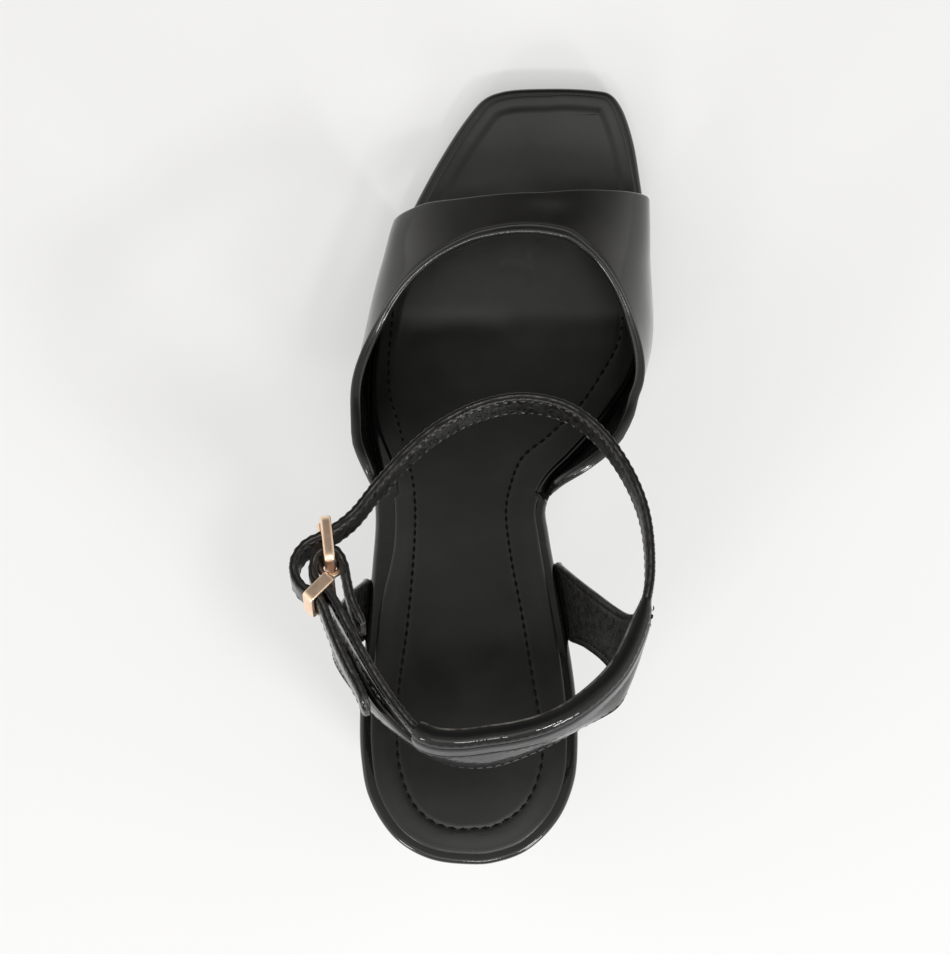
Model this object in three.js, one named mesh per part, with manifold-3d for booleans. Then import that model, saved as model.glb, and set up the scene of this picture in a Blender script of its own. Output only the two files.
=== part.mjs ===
// A high heel sandal for a left foot, in millimetres.
// The floor is z = 0, +Y runs from heel to toe, +X points to the big toe side and +Z is up.
// Every piece is a loft: a row of closed loops, each with as many points as the next.
import * as THREE from "three";
import { mergeVertices } from "three/addons/utils/BufferGeometryUtils.js";
import Module from "manifold-3d";

// Sizes of the whole shoe
const LENGTH = 220; // plan length of the sole, heel to toe
const BALL_WIDTH = 86; // widest width of the sole
const HEEL_RISE = 91; // insole board's top above the floor, at the back of the heel
const TOE_SPRING = 3.5; // how far the toe's tip lifts off the floor
const GAP = 0.3; // glue line between pieces that meet

// Sole layers, bottom to top
const OUTSOLE_THICKNESS = 2.4;
const OUTSOLE_EDGE_RADIUS = 0.7;
const BOARD_THICKNESS = 3.4;
const BOARD_EDGE_RADIUS = 1.3;
const SOCK_THICKNESS = 1.3;
const SOCK_EDGE_RADIUS = 0.6;
const SOCK_MARGIN = 3; // rim of the board left bare around the sock

// Heel
const SEAT_INSET = 0.8; // heel block's top edge inside the outsole's edge
const TOP_PIECE_WIDTH = 27;
const TOP_PIECE_DEPTH = 27;
const TOP_PIECE_THICKNESS = 5;
const TOP_PIECE_BACK = 3.5; // its rear edge ahead of the sole's rear end

// Vamp
const VAMP_WALL = 2.2;
const VAMP_RIM = 2.9; // thickness of the rolled rear edge
const INSTEP_HEIGHT = 27.5; // middle of the vamp's rear edge above the board

// Ankle strap and heel sling
const STRAP_WIDTH = 11;
const STRAP_THICKNESS = 2.4;
const ANKLE_WIDTH = 84;
const ANKLE_DEPTH = 94;
const ANKLE_HEIGHT = 54; // middle of the strap above the heel seat, at the back
const ANKLE_LEAN = THREE.MathUtils.degToRad(20); // the strap's ring dips towards the toe
const ANKLE_BACK = 38; // the strap's ring starts this far ahead of the sole's rear end
const SLING_WALL = 2;
const TUNNEL_WALL = 1.2; // leather round the strap where the sling folds over it

// Buckle and keeper
const BUCKLE_LENGTH = 13.2;
const BUCKLE_BAR = 2.2;
const BUCKLE_THICKNESS = 2.9;
const BUCKLE_CLEARANCE = 1; // above and below the strap, inside the frame
const PRONG_RADIUS = 0.8;
const PRONG_SUNK = 1; // how deep the prong lies in the notch of the front bar
const KEEPER_BAND = 3.4; // width of the keeper's metal along the strap
const KEEPER_WALL = 1.3;
const KEEPER_CLEARANCE = 0.55;

// Height of the board's top: rise is a share of the heel's rise over the ball, spring of the toe's
const PROFILE = [
  { along: 0, rise: 1, spring: 0 },
  { along: 0.09, rise: 0.965, spring: 0 },
  { along: 0.18, rise: 0.905, spring: 0 },
  { along: 0.25, rise: 0.822, spring: 0 },
  { along: 0.34, rise: 0.645, spring: 0 },
  { along: 0.432, rise: 0.432, spring: 0 },
  { along: 0.523, rise: 0.218, spring: 0 },
  { along: 0.59, rise: 0.093, spring: 0 },
  { along: 0.66, rise: 0.02, spring: 0 },
  { along: 0.7, rise: 0, spring: 0 },
  { along: 0.82, rise: 0, spring: 0 },
  { along: 0.91, rise: 0, spring: 0.3 },
  { along: 1, rise: 0, spring: 1 },
];

// Edge of the sole from the middle of the heel's back, round the outer side, to the toe and back.
// across is a share of the ball's width and along of the length
const OUTLINE = [
  { across: -0.016, along: -0.001 },
  { across: -0.147, along: 0.006 },
  { across: -0.255, along: 0.031 },
  { across: -0.337, along: 0.08 },
  { across: -0.364, along: 0.13 },
  { across: -0.369, along: 0.19 },
  { across: -0.352, along: 0.29 },
  { across: -0.337, along: 0.37 },
  { across: -0.331, along: 0.43 },
  { across: -0.349, along: 0.488 },
  { across: -0.381, along: 0.54 },
  { across: -0.393, along: 0.6 },
  { across: -0.37, along: 0.68 },
  { across: -0.312, along: 0.76 },
  { across: -0.216, along: 0.838 },
  { across: -0.12, along: 0.907 },
  { across: -0.031, along: 0.96 },
  { across: 0.031, along: 0.987 },
  { across: 0.095, along: 0.997 },
  { across: 0.233, along: 1.001 },
  { across: 0.4, along: 0.999 },
  { across: 0.462, along: 0.994 },
  { across: 0.5, along: 0.977 },
  { across: 0.54, along: 0.935 },
  { across: 0.566, along: 0.88 },
  { across: 0.59, along: 0.81 },
  { across: 0.607, along: 0.74 },
  { across: 0.614, along: 0.686 },
  { across: 0.602, along: 0.645 },
  { across: 0.569, along: 0.607 },
  { across: 0.513, along: 0.573 },
  { across: 0.433, along: 0.533 },
  { across: 0.345, along: 0.497 },
  { across: 0.274, along: 0.47 },
  { across: 0.236, along: 0.44 },
  { across: 0.243, along: 0.41 },
  { across: 0.268, along: 0.35 },
  { across: 0.299, along: 0.28 },
  { across: 0.323, along: 0.21 },
  { across: 0.329, along: 0.15 },
  { across: 0.316, along: 0.1 },
  { across: 0.263, along: 0.053 },
  { across: 0.165, along: 0.016 },
  { across: 0.06, along: 0.001 },
];

// Rim left bare around the sock, as shares of its usual width
const SOCK_RIM = [
  { along: 0, outer: 1, inner: 1 },
  { along: 0.3, outer: 1.05, inner: 1 },
  { along: 0.4, outer: 1.9, inner: 1 },
  { along: 0.47, outer: 1.9, inner: 1 },
  { along: 0.56, outer: 1.1, inner: 1.1 },
  { along: 0.7, outer: 0.9, inner: 0.9 },
  { along: 0.85, outer: 0.8, inner: 0.6 },
  { along: 0.96, outer: 0.85, inner: 0.75 },
  { along: 1, outer: 0.7, inner: 0.6 },
];

// The last's arch over the foot: crown is the section's height as a share of the instep's,
// outer and inner are how far each wall swells outwards, as shares of the ball's width
const LAST_SECTIONS = [
  { along: 0.45, crown: 3.1, outer: 0.1, inner: 0.11 },
  { along: 0.52, crown: 2.73, outer: 0.1, inner: 0.19 },
  { along: 0.56, crown: 2.42, outer: 0.065, inner: 0.108 },
  { along: 0.595, crown: 2.1, outer: 0.05, inner: 0.025 },
  { along: 0.68, crown: 1.53, outer: 0.017, inner: -0.017 },
  { along: 0.76, crown: 1.25, outer: 0.036, inner: 0.004 },
  { along: 0.81, crown: 1.137, outer: 0.07, inner: 0.03 },
  { along: 0.87, crown: 0.9, outer: 0.1, inner: 0.052 },
];
const LAST_ROUNDNESS = 0.8; // 1 gives half ellipses, less gives squarer shoulders

// Edges of the vamp: across is -1 at the outer side's base, 0 on the crown, 1 at the inner base
const VAMP_ROWS = [
  { across: -1, front: 0.817, rear: 0.465 },
  { across: -0.93, front: 0.818, rear: 0.505 },
  { across: -0.87, front: 0.819, rear: 0.572 },
  { across: -0.8, front: 0.82, rear: 0.614 },
  { across: -0.7, front: 0.824, rear: 0.66 },
  { across: -0.58, front: 0.832, rear: 0.7 },
  { across: -0.45, front: 0.84, rear: 0.737 },
  { across: -0.3, front: 0.844, rear: 0.769 },
  { across: -0.15, front: 0.849, rear: 0.789 },
  { across: 0, front: 0.853, rear: 0.796 },
  { across: 0.15, front: 0.856, rear: 0.79 },
  { across: 0.3, front: 0.857, rear: 0.767 },
  { across: 0.45, front: 0.857, rear: 0.732 },
  { across: 0.58, front: 0.856, rear: 0.694 },
  { across: 0.7, front: 0.855, rear: 0.653 },
  { across: 0.8, front: 0.853, rear: 0.61 },
  { across: 0.87, front: 0.852, rear: 0.57 },
  { across: 0.93, front: 0.851, rear: 0.502 },
  { across: 1, front: 0.85, rear: 0.462 },
];

// Middle line of the strap in the plane of its ring, from its folded end round the buckle's bar,
// past the heel and over the instep to its tail. On the ring, across is a share of the ankle's
// width and along of its depth. Near the buckle, beside and ahead are shares of the buckle's
// length, from the bar that holds the strap
const STRAP_ROUTE = [
  { beside: 0.67, ahead: -1.3 },
  { beside: 0.46, ahead: -0.85 },
  { beside: 0.34, ahead: -0.39 },
  { beside: 0.27, ahead: -0.04 },
  { beside: 0.13, ahead: 0.21 },
  { beside: -0.07, ahead: 0.27 },
  { beside: -0.26, ahead: 0.14 },
  { beside: -0.33, ahead: -0.14 },
  { beside: -0.3, ahead: -0.33 },
  { beside: -0.13, ahead: -0.49 },
  { beside: 0.07, ahead: -0.76 },
  { beside: 0.39, ahead: -1.38 },
  { beside: 0.79, ahead: -2.12 },
  { beside: 1.13, ahead: -2.68 },
  { beside: 1.44, ahead: -3.11 },
  { across: -0.18, along: 0.014, mark: "outer mouth" },
  { across: -0.129, along: -0.01 },
  { across: -0.052, along: -0.016 },
  { across: 0.033, along: -0.007 },
  { across: 0.132, along: 0.007 },
  { across: 0.231, along: 0.034 },
  { across: 0.336, along: 0.09 },
  { across: 0.445, along: 0.19 },
  { across: 0.518, along: 0.333 },
  { across: 0.534, along: 0.39, mark: "inner mouth" },
  { across: 0.548, along: 0.473 },
  { across: 0.536, along: 0.64 },
  { across: 0.485, along: 0.77 },
  { across: 0.396, along: 0.89 },
  { across: 0.29, along: 0.964 },
  { across: 0.155, along: 0.991 },
  { across: 0.02, along: 0.969 },
  { across: -0.11, along: 0.908 },
  { across: -0.214, along: 0.827 },
  { across: -0.314, along: 0.722 },
  { beside: 0.44, ahead: 1 },
  { beside: -0.06, ahead: 0.6 },
  { beside: -0.49, ahead: 0.36 },
  { beside: -0.7, ahead: 0.03 },
  { beside: -0.68, ahead: -0.31 },
  { beside: -0.52, ahead: -0.54 },
  { beside: -0.28, ahead: -0.67 },
  { beside: -0.13, ahead: -0.91 },
  { beside: 0.05, ahead: -1.39 },
  { beside: 0.33, ahead: -2.05 },
  { beside: 0.65, ahead: -2.69 },
  { beside: 0.77, ahead: -3.04 },
];
const BUCKLE_REAR = { across: -0.4535, along: 0.499 }; // middle of the bar that holds the strap
const BUCKLE_TURN = THREE.MathUtils.degToRad(96.4); // of its length, from +X towards the toe
const KEEPER_PLACE = { beside: -0.21, ahead: -0.58 };
const KEEPER_TURN = THREE.MathUtils.degToRad(46); // of its long side, from +X towards the toe

// Inner face of the sling, inner side first. low and high are its two edges: x as a share of the
// ankle's width, y of the length, up as a share of the way from the board to the strap's top edge.
// Where it is folded round the strap, tunnel is the share of the fold passed, from the inner side
const SLING_SECTIONS = [
  { name: "inner seat", low: [0, 0.272, 0], high: [0, 0.37, 0] },
  { name: "inner rise", low: [0.352, 0.268, 0.22], high: [0.372, 0.341, 0.34] },
  { name: "inner flank", low: [0.41, 0.252, 0.44], high: [0.474, 0.316, 0.62] },
  { name: "inner turn", low: [0.443, 0.233, 0.59], high: [0.512, 0.318, 0.8] },
  { name: "inner mouth", low: [0.45, 0.218, 0.65], tunnel: 0.04 },
  { name: "inner back", low: [0.424, 0.205, 0.66], tunnel: 0.2 },
  { name: "back right", low: [0.33, 0.188, 0.65], tunnel: 0.4 },
  { name: "back near right", low: [0.197, 0.16, 0.63], tunnel: 0.57 },
  { name: "back", low: [0.045, 0.14, 0.615], tunnel: 0.75 },
  { name: "back near left", low: [-0.095, 0.145, 0.615], tunnel: 0.9 },
  { name: "outer mouth", low: [-0.203, 0.17, 0.625], tunnel: 1 },
  { name: "outer back", low: [-0.29, 0.196, 0.63], high: [-0.284, 0.212, 0.87] },
  { name: "outer turn", low: [-0.376, 0.228, 0.6], high: [-0.368, 0.262, 0.79] },
  { name: "outer flank", low: [-0.43, 0.256, 0.47], high: [-0.428, 0.306, 0.66] },
  { name: "outer rise", low: [-0.415, 0.266, 0.24], high: [-0.404, 0.332, 0.37] },
  { name: "outer seat", low: [0, 0.272, 0], high: [0, 0.35, 0] },
];

// Heel block: drop is 0 under the seat and 1 at the top piece; back, front and side are shares of
// the way from the seat's size to the top piece's
const HEEL_SECTIONS = [
  { drop: 0, back: 0, front: 0, side: 0 },
  { drop: 0.1, back: 0.1, front: 0.2, side: 0.2 },
  { drop: 0.25, back: 0.35, front: 0.52, side: 0.5 },
  { drop: 0.45, back: 0.72, front: 0.82, side: 0.8 },
  { drop: 0.7, back: 0.98, front: 1, side: 1 },
  { drop: 1, back: 1, front: 1, side: 1 },
];
const SEAT_LENGTH = 46; // of the heel block's top, from the sole's rear end
const SEAT_SQUARE_FRONT = 0.35; // 1 gives a round front edge, less gives a straighter one
const TOP_PIECE_SQUARE = 0.55;

// Finishes: colour, roughness and metalness
const FINISHES = {
  rubber: [0x141414, 0.75, 0],
  patent: [0x0b0b0c, 0.12, 0],
  sock: [0x2a2a2a, 0.5, 0],
  leather: [0x0e0e0f, 0.25, 0],
  metal: [0xe0b48c, 0.2, 1],
};

const wasm = await Module();
wasm.setup();

const { lerp, clamp, smoothstep } = THREE.MathUtils;
const vector = (x, y, z) => new THREE.Vector3(x, y, z);

// Smooth curve through a table's rows that never overshoots them: column against key
function smoothColumn(rows, key, column) {
  const slopes = rows.slice(1).map((row, i) => {
    return (row[column] - rows[i][column]) / (row[key] - rows[i][key]);
  });
  const tangents = rows.map((row, i) => {
    if (i === 0) return slopes[0];
    if (i === rows.length - 1) return slopes[i - 1];
    if (slopes[i - 1] * slopes[i] <= 0) return 0;
    return (2 * slopes[i - 1] * slopes[i]) / (slopes[i - 1] + slopes[i]);
  });
  return (at) => {
    const x = clamp(at, rows[0][key], rows[rows.length - 1][key]);
    const i = clamp(rows.findIndex((row) => row[key] > x) - 1, 0, rows.length - 2);
    const cell = at >= rows[rows.length - 1][key] ? rows.length - 2 : i;
    const width = rows[cell + 1][key] - rows[cell][key];
    const t = (x - rows[cell][key]) / width;
    const keep = (1 + 2 * t) * (1 - t) ** 2;
    const leave = t * (1 - t) ** 2 * width;
    const reach = t ** 2 * (3 - 2 * t);
    const land = t ** 2 * (t - 1) * width;
    return (
      keep * rows[cell][column] +
      leave * tangents[cell] +
      reach * rows[cell + 1][column] +
      land * tangents[cell + 1]
    );
  };
}

// Closed mesh over a row of loops. Each end is closed by rungs between points i and n - 1 - i
function loft(loops) {
  const n = loops[0].length;
  const index = [];
  for (let row = 0; row < loops.length - 1; row++) {
    for (let i = 0; i < n; i++) {
      const a = row * n + i;
      const b = row * n + ((i + 1) % n);
      index.push(a, b, a + n, b, b + n, a + n);
    }
  }
  const rungs = (start, turned) => {
    for (let i = 0; i < n / 2 - 1; i++) {
      const quad = [start + i, start + i + 1, start + n - 2 - i, start + n - 1 - i];
      const [a, b, c, d] = turned ? quad.reverse() : quad;
      index.push(a, c, b, a, d, c);
    }
  };
  rungs(0, false);
  rungs((loops.length - 1) * n, true);
  const geometry = new THREE.BufferGeometry();
  geometry.setFromPoints(loops.flat());
  geometry.setIndex(index);
  return facingOut(geometry);
}

// The same mesh with its faces turned outwards
function facingOut(geometry) {
  const position = geometry.getAttribute("position");
  const index = geometry.getIndex().array;
  const [a, b, c] = [vector(), vector(), vector()];
  let volume = 0;
  for (let i = 0; i < index.length; i += 3) {
    a.fromBufferAttribute(position, index[i]);
    b.fromBufferAttribute(position, index[i + 1]);
    c.fromBufferAttribute(position, index[i + 2]);
    volume += a.dot(b.cross(c));
  }
  if (volume < 0) geometry.setIndex(Array.from(index).reverse());
  return geometry;
}

function solidOf(geometry) {
  const bare = geometry.clone();
  bare.deleteAttribute("normal");
  bare.deleteAttribute("uv");
  const merged = mergeVertices(bare, 1e-4);
  return new wasm.Manifold(
    new wasm.Mesh({
      numProp: 3,
      vertProperties: new Float32Array(merged.getAttribute("position").array),
      triVerts: new Uint32Array(merged.getIndex().array),
    }),
  );
}

function geometryOf(solid) {
  const mesh = solid.getMesh();
  const geometry = new THREE.BufferGeometry();
  geometry.setAttribute("position", new THREE.BufferAttribute(mesh.vertProperties, 3));
  geometry.setIndex(new THREE.BufferAttribute(mesh.triVerts, 1));
  return geometry;
}

// Sole surface
const BOARD_TOP = OUTSOLE_THICKNESS + GAP + BOARD_THICKNESS; // above the floor, at the ball
const riseAt = smoothColumn(PROFILE, "along", "rise");
const springAt = smoothColumn(PROFILE, "along", "spring");

function boardTop(y) {
  const along = y / LENGTH;
  return BOARD_TOP + riseAt(along) * (HEEL_RISE - BOARD_TOP) + springAt(along) * TOE_SPRING;
}

// Height of the sole at a depth below the board's top, the depth measured square to it
function soleHeight(y, depth) {
  const step = 0.5;
  const slope = (boardTop(y + step) - boardTop(y - step)) / (2 * step);
  return boardTop(y) - depth * Math.hypot(1, slope);
}

function solePoint(x, y, depth) {
  return vector(x, y, soleHeight(y, depth));
}

const outlineCurve = new THREE.CatmullRomCurve3(
  OUTLINE.map((row) => vector(row.across * BALL_WIDTH, row.along * LENGTH, 0)),
  true,
  "centripetal",
);
const outlinePoints = outlineCurve.getPoints(900).slice(0, -1);
const rearmost = outlinePoints.reduce((best, p, i) => (p.y < outlinePoints[best].y ? i : best), 0);
const foremost = outlinePoints.reduce((best, p, i) => (p.y > outlinePoints[best].y ? i : best), 0);
const turned = (from, to) => {
  const count = (to - from + outlinePoints.length) % outlinePoints.length;
  return Array.from({ length: count + 1 }, (_, i) => outlinePoints[(from + i) % outlinePoints.length]);
};
const SIDES = {
  outer: turned(rearmost, foremost),
  inner: turned(foremost, rearmost).reverse(),
};
const REAR_END = outlinePoints[rearmost].y;
const FRONT_END = outlinePoints[foremost].y;

// Edge of the sole at y on one side, with the direction that points out of it
function edgeAt(side, y) {
  const points = SIDES[side];
  let i = points.findIndex((p, j) => j > 0 && p.y >= y);
  if (i < 1) i = y <= REAR_END ? 1 : points.length - 1;
  const a = points[i - 1];
  const b = points[i];
  const t = clamp((y - a.y) / Math.max(b.y - a.y, 1e-6), 0, 1);
  const before = points[Math.max(i - 4, 0)];
  const after = points[Math.min(i + 3, points.length - 1)];
  const along = vector(after.x - before.x, after.y - before.y, 0).normalize();
  const turn = side === "outer" ? -1 : 1;
  return { x: lerp(a.x, b.x, t), y, out: vector(turn * along.y, -turn * along.x, 0) };
}

// Stretches of the sole's edge where the vamp and the sling go down beside the board
const ZONE_RAMP = 0.7 * VAMP_WALL; // length over which an edge steps in or out
const vampSeat = (row) => [row.rear * LENGTH - ZONE_RAMP, row.front * LENGTH + ZONE_RAMP / 2];
const VAMP_ZONES = {
  outer: vampSeat(VAMP_ROWS[0]),
  inner: vampSeat(VAMP_ROWS[VAMP_ROWS.length - 1]),
};
const slingSeat = (row) => [row.low[1] * LENGTH + ZONE_RAMP, row.high[1] * LENGTH - ZONE_RAMP];
const SLING_ZONES = {
  outer: slingSeat(SLING_SECTIONS[SLING_SECTIONS.length - 1]),
  inner: slingSeat(SLING_SECTIONS[0]),
};

const within = (y, [low, high]) => {
  return clamp((y - low) / ZONE_RAMP + 1, 0, 1) * clamp((high - y) / ZONE_RAMP + 1, 0, 1);
};

// Rows across the sole: dense at both ends, and at each step of the board's edge
const STATIONS = (() => {
  const ends = [0, 0.0016, 0.006, 0.0136, 0.025, 0.041, 0.059].map((share) => share * LENGTH);
  const inland = ends[ends.length - 1];
  const list = [];
  ends.forEach((d) => list.push(REAR_END + d, FRONT_END - d));
  const rows = 30;
  for (let i = 1; i < rows; i++) list.push(lerp(REAR_END + inland, FRONT_END - inland, i / rows));
  [VAMP_ZONES.outer, VAMP_ZONES.inner, SLING_ZONES.outer, SLING_ZONES.inner].flat().forEach((y, i) => {
    const outwards = i % 2 ? 1 : -1;
    list.push(y, y + outwards * ZONE_RAMP);
  });
  list.sort((a, b) => a - b);
  const apart = 0.0014 * LENGTH;
  return list.filter((y, i) => i === 0 || y - list[i - 1] > apart);
})();

// Loop round the sole, let in by inset(y, side) and at a depth below the board's top
function soleLoop(inset, depth) {
  const side = (name) => {
    return STATIONS.map((y) => {
      const edge = edgeAt(name, y);
      const by = inset(y, name);
      return solePoint(edge.x - edge.out.x * by, edge.y - edge.out.y * by, depth);
    });
  };
  return [...side("outer"), ...side("inner").reverse()];
}

// A layer of the sole between two depths, its edges rounded by the two radii
function soleLayer(inset, top, bottom, topRadius, bottomRadius) {
  const rounded = (radius, steps) => {
    return Array.from({ length: steps + 1 }, (_, i) => {
      const angle = (i / steps) * (Math.PI / 2);
      return { by: radius * (1 - Math.sin(angle)), down: radius * (1 - Math.cos(angle)) };
    });
  };
  const steps = 2;
  const loops = [];
  rounded(topRadius, steps).forEach(({ by, down }) => {
    loops.push(soleLoop((y, side) => inset(y, side) + by, top + down));
  });
  rounded(bottomRadius, steps)
    .reverse()
    .forEach(({ by, down }) => {
      loops.push(soleLoop((y, side) => inset(y, side) + by, bottom - down));
    });
  return loft(loops);
}

const BOARD_BOTTOM = BOARD_THICKNESS;
const OUTSOLE_TOP = BOARD_BOTTOM + GAP;
const OUTSOLE_BOTTOM = OUTSOLE_TOP + OUTSOLE_THICKNESS;

function outsole() {
  const ledge = SLING_WALL + GAP;
  const inset = (y, side) => -ledge * within(y, SLING_ZONES[side]);
  return soleLayer(inset, OUTSOLE_TOP, OUTSOLE_BOTTOM, OUTSOLE_EDGE_RADIUS, OUTSOLE_EDGE_RADIUS);
}

function insoleBoard() {
  const inset = (y, side) => (VAMP_WALL + 2 * GAP) * within(y, VAMP_ZONES[side]);
  return soleLayer(inset, 0, BOARD_BOTTOM, BOARD_EDGE_RADIUS, GAP);
}

function sockLining() {
  const rims = {
    outer: smoothColumn(SOCK_RIM, "along", "outer"),
    inner: smoothColumn(SOCK_RIM, "along", "inner"),
  };
  const inset = (y, side) => {
    return SOCK_MARGIN * rims[side](y / LENGTH) + 0.6 * VAMP_WALL * within(y, VAMP_ZONES[side]);
  };
  return soleLayer(inset, -GAP - SOCK_THICKNESS, -GAP, SOCK_EDGE_RADIUS, GAP / 3);
}

// Heel block and top piece
const HEEL_POINTS = 32;

function heelLoop(section, heightAt) {
  const seatMiddle = (edgeAt("outer", SEAT_LENGTH).x + edgeAt("inner", SEAT_LENGTH).x) / 2;
  const seatHalf = (edgeAt("inner", SEAT_LENGTH).x - edgeAt("outer", SEAT_LENGTH).x) / 2 - SEAT_INSET;
  const back = lerp(REAR_END + SEAT_INSET, TOP_PIECE_BACK, section.back);
  const front = lerp(SEAT_LENGTH, TOP_PIECE_BACK + TOP_PIECE_DEPTH, section.front);
  const half = lerp(seatHalf, TOP_PIECE_WIDTH / 2, section.side);
  const widest = lerp(back + seatHalf, (back + front) / 2, section.back);
  const square = lerp(SEAT_SQUARE_FRONT, TOP_PIECE_SQUARE, section.front);
  const round = lerp(1, TOP_PIECE_SQUARE, section.back);
  return Array.from({ length: HEEL_POINTS }, (_, i) => {
    const angle = -Math.PI / 2 - ((i + 0.5) / HEEL_POINTS) * 2 * Math.PI;
    const sine = Math.sin(angle);
    const cosine = Math.cos(angle);
    const power = sine > 0 ? square : round;
    const reach = sine > 0 ? front - widest : widest - back;
    const x = seatMiddle + half * Math.sign(cosine) * Math.abs(cosine) ** power;
    const y = widest + reach * Math.sign(sine) * Math.abs(sine) ** power;
    return vector(x, y, heightAt(y));
  });
}

function heelBlock() {
  const floor = TOP_PIECE_THICKNESS + GAP;
  const under = (y) => soleHeight(y, OUTSOLE_BOTTOM + GAP);
  const levels = 11;
  const columns = ["back", "front", "side"].map((name) => smoothColumn(HEEL_SECTIONS, "drop", name));
  const loops = Array.from({ length: levels }, (_, i) => {
    const drop = (i / (levels - 1)) ** 1.15;
    const [back, front, side] = columns.map((column) => column(drop));
    return heelLoop({ back, front, side }, (y) => lerp(under(y), floor, drop));
  });
  return loft(loops);
}

function topPiece() {
  const foot = { back: 1, front: 1, side: 1 };
  return loft([heelLoop(foot, () => 0), heelLoop(foot, () => TOP_PIECE_THICKNESS)]);
}

// Vamp: rows run from its front edge to its rear edge over the last
const crownAt = smoothColumn(LAST_SECTIONS, "along", "crown");
const swellAt = {
  outer: smoothColumn(LAST_SECTIONS, "along", "outer"),
  inner: smoothColumn(LAST_SECTIONS, "along", "inner"),
};

function vampBase(y) {
  return soleHeight(y, OUTSOLE_TOP - GAP);
}

// Point of the last: across is -1 at the outer side's base, 0 on the crown and 1 at the inner base
function lastPoint(y, across) {
  const side = across < 0 ? "outer" : "inner";
  const [low, high] = ["outer", "inner"].map((name) => {
    const edge = edgeAt(name, y);
    return edge.x - VAMP_WALL / edge.out.x;
  });
  const angle = (1 - Math.abs(across)) * (Math.PI / 2);
  const spread = Math.cos(angle) ** LAST_ROUNDNESS;
  const height = Math.sin(angle) ** LAST_ROUNDNESS;
  const swellPeak = Math.sqrt(4 / 27); // largest value of sin cos cos
  const swell = (Math.sin(angle) * Math.cos(angle) ** 2) / swellPeak;
  const reach = ((high - low) / 2) * spread + swellAt[side](y / LENGTH) * BALL_WIDTH * swell;
  const x = (low + high) / 2 + Math.sign(across) * reach;
  return vector(x, y, vampBase(y) + crownAt(y / LENGTH) * INSTEP_HEIGHT * height);
}

const frontAt = smoothColumn(VAMP_ROWS, "across", "front");
const rearAt = smoothColumn(VAMP_ROWS, "across", "rear");

function vampPoint(across, t) {
  return lastPoint(lerp(frontAt(across), rearAt(across), t) * LENGTH, across);
}

function vampNormal(across, t) {
  const step = 0.01;
  const low = clamp(across, -1 + step, 1 - step);
  const middle = clamp(t, step, 1 - step);
  const sideways = vampPoint(low + step, middle).sub(vampPoint(low - step, middle));
  const backwards = vampPoint(low, middle + step).sub(vampPoint(low, middle - step));
  return backwards.cross(sideways).normalize();
}

// Across the vamp's wall: a folded front edge and a thicker, rolled rear edge
const VAMP_STOPS = [
  { t: 0, edge: 0.5, rolled: 0 },
  { t: 0.03, edge: 0.95, rolled: 0 },
  { t: 0.1, edge: 1, rolled: 0 },
  { t: 0.2, edge: 1, rolled: 0 },
  { t: 0.3, edge: 1, rolled: 0 },
  { t: 0.4, edge: 1, rolled: 0 },
  { t: 0.5, edge: 1, rolled: 0 },
  { t: 0.6, edge: 1, rolled: 0 },
  { t: 0.7, edge: 1, rolled: 0 },
  { t: 0.8, edge: 1, rolled: 0.2 },
  { t: 0.88, edge: 1, rolled: 0.7 },
  { t: 0.95, edge: 1, rolled: 1 },
  { t: 0.985, edge: 0.95, rolled: 1 },
  { t: 1, edge: 0.55, rolled: 1 },
];

function vampLoop(across) {
  const seated = Math.abs(across) === 1;
  const inner = VAMP_STOPS.map(({ t }) => vampPoint(across, t));
  const outer = VAMP_STOPS.map(({ t, edge, rolled }, i) => {
    const wall = lerp(VAMP_WALL, VAMP_RIM, seated ? 0 : rolled) * edge;
    const normal = seated ? edgeAt(across < 0 ? "outer" : "inner", inner[i].y).out : vampNormal(across, t);
    const point = inner[i].clone().addScaledVector(normal, wall);
    if (seated) point.z = vampBase(point.y);
    return point;
  });
  return [...outer, ...inner.reverse()];
}

function vamp() {
  const columns = 40;
  const loops = Array.from({ length: columns + 1 }, (_, i) => vampLoop(-1 + (2 * i) / columns));
  return loft(loops);
}

// The strap's ring: its plane dips towards the toe
function ringPoint(x, along, up) {
  return vector(
    x,
    ANKLE_BACK + along * Math.cos(ANKLE_LEAN) + up * Math.sin(ANKLE_LEAN),
    HEEL_RISE + ANKLE_HEIGHT - along * Math.sin(ANKLE_LEAN) + up * Math.cos(ANKLE_LEAN),
  );
}

// A place in the ring's plane, given on the ring or near the buckle
function ringPlace({ across, along, beside, ahead }) {
  if (beside === undefined) return [across * ANKLE_WIDTH, along * ANKLE_DEPTH];
  const [x, y] = ringPlace(BUCKLE_REAR);
  return [x + beside * BUCKLE_LENGTH, y + ahead * BUCKLE_LENGTH];
}

function ringTop(y) {
  const up = STRAP_WIDTH / 2;
  const along = (y - ANKLE_BACK - up * Math.sin(ANKLE_LEAN)) / Math.cos(ANKLE_LEAN);
  return ringPoint(0, along, up).z;
}

const strapCurve = new THREE.CatmullRomCurve3(
  STRAP_ROUTE.map((row) => vector(...ringPlace(row), 0)),
  false,
  "centripetal",
);
const routeMark = (name) => STRAP_ROUTE.findIndex((row) => row.mark === name) / (STRAP_ROUTE.length - 1);
const TUNNEL = { from: routeMark("inner mouth"), to: routeMark("outer mouth") };

// Point beside the strap's middle line: out is away from the ankle on the main ring
function besideStrap(t, out, up) {
  const middle = strapCurve.getPoint(t);
  const along = strapCurve.getTangent(t);
  return ringPoint(middle.x + along.y * out, middle.y - along.x * out, up);
}

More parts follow.
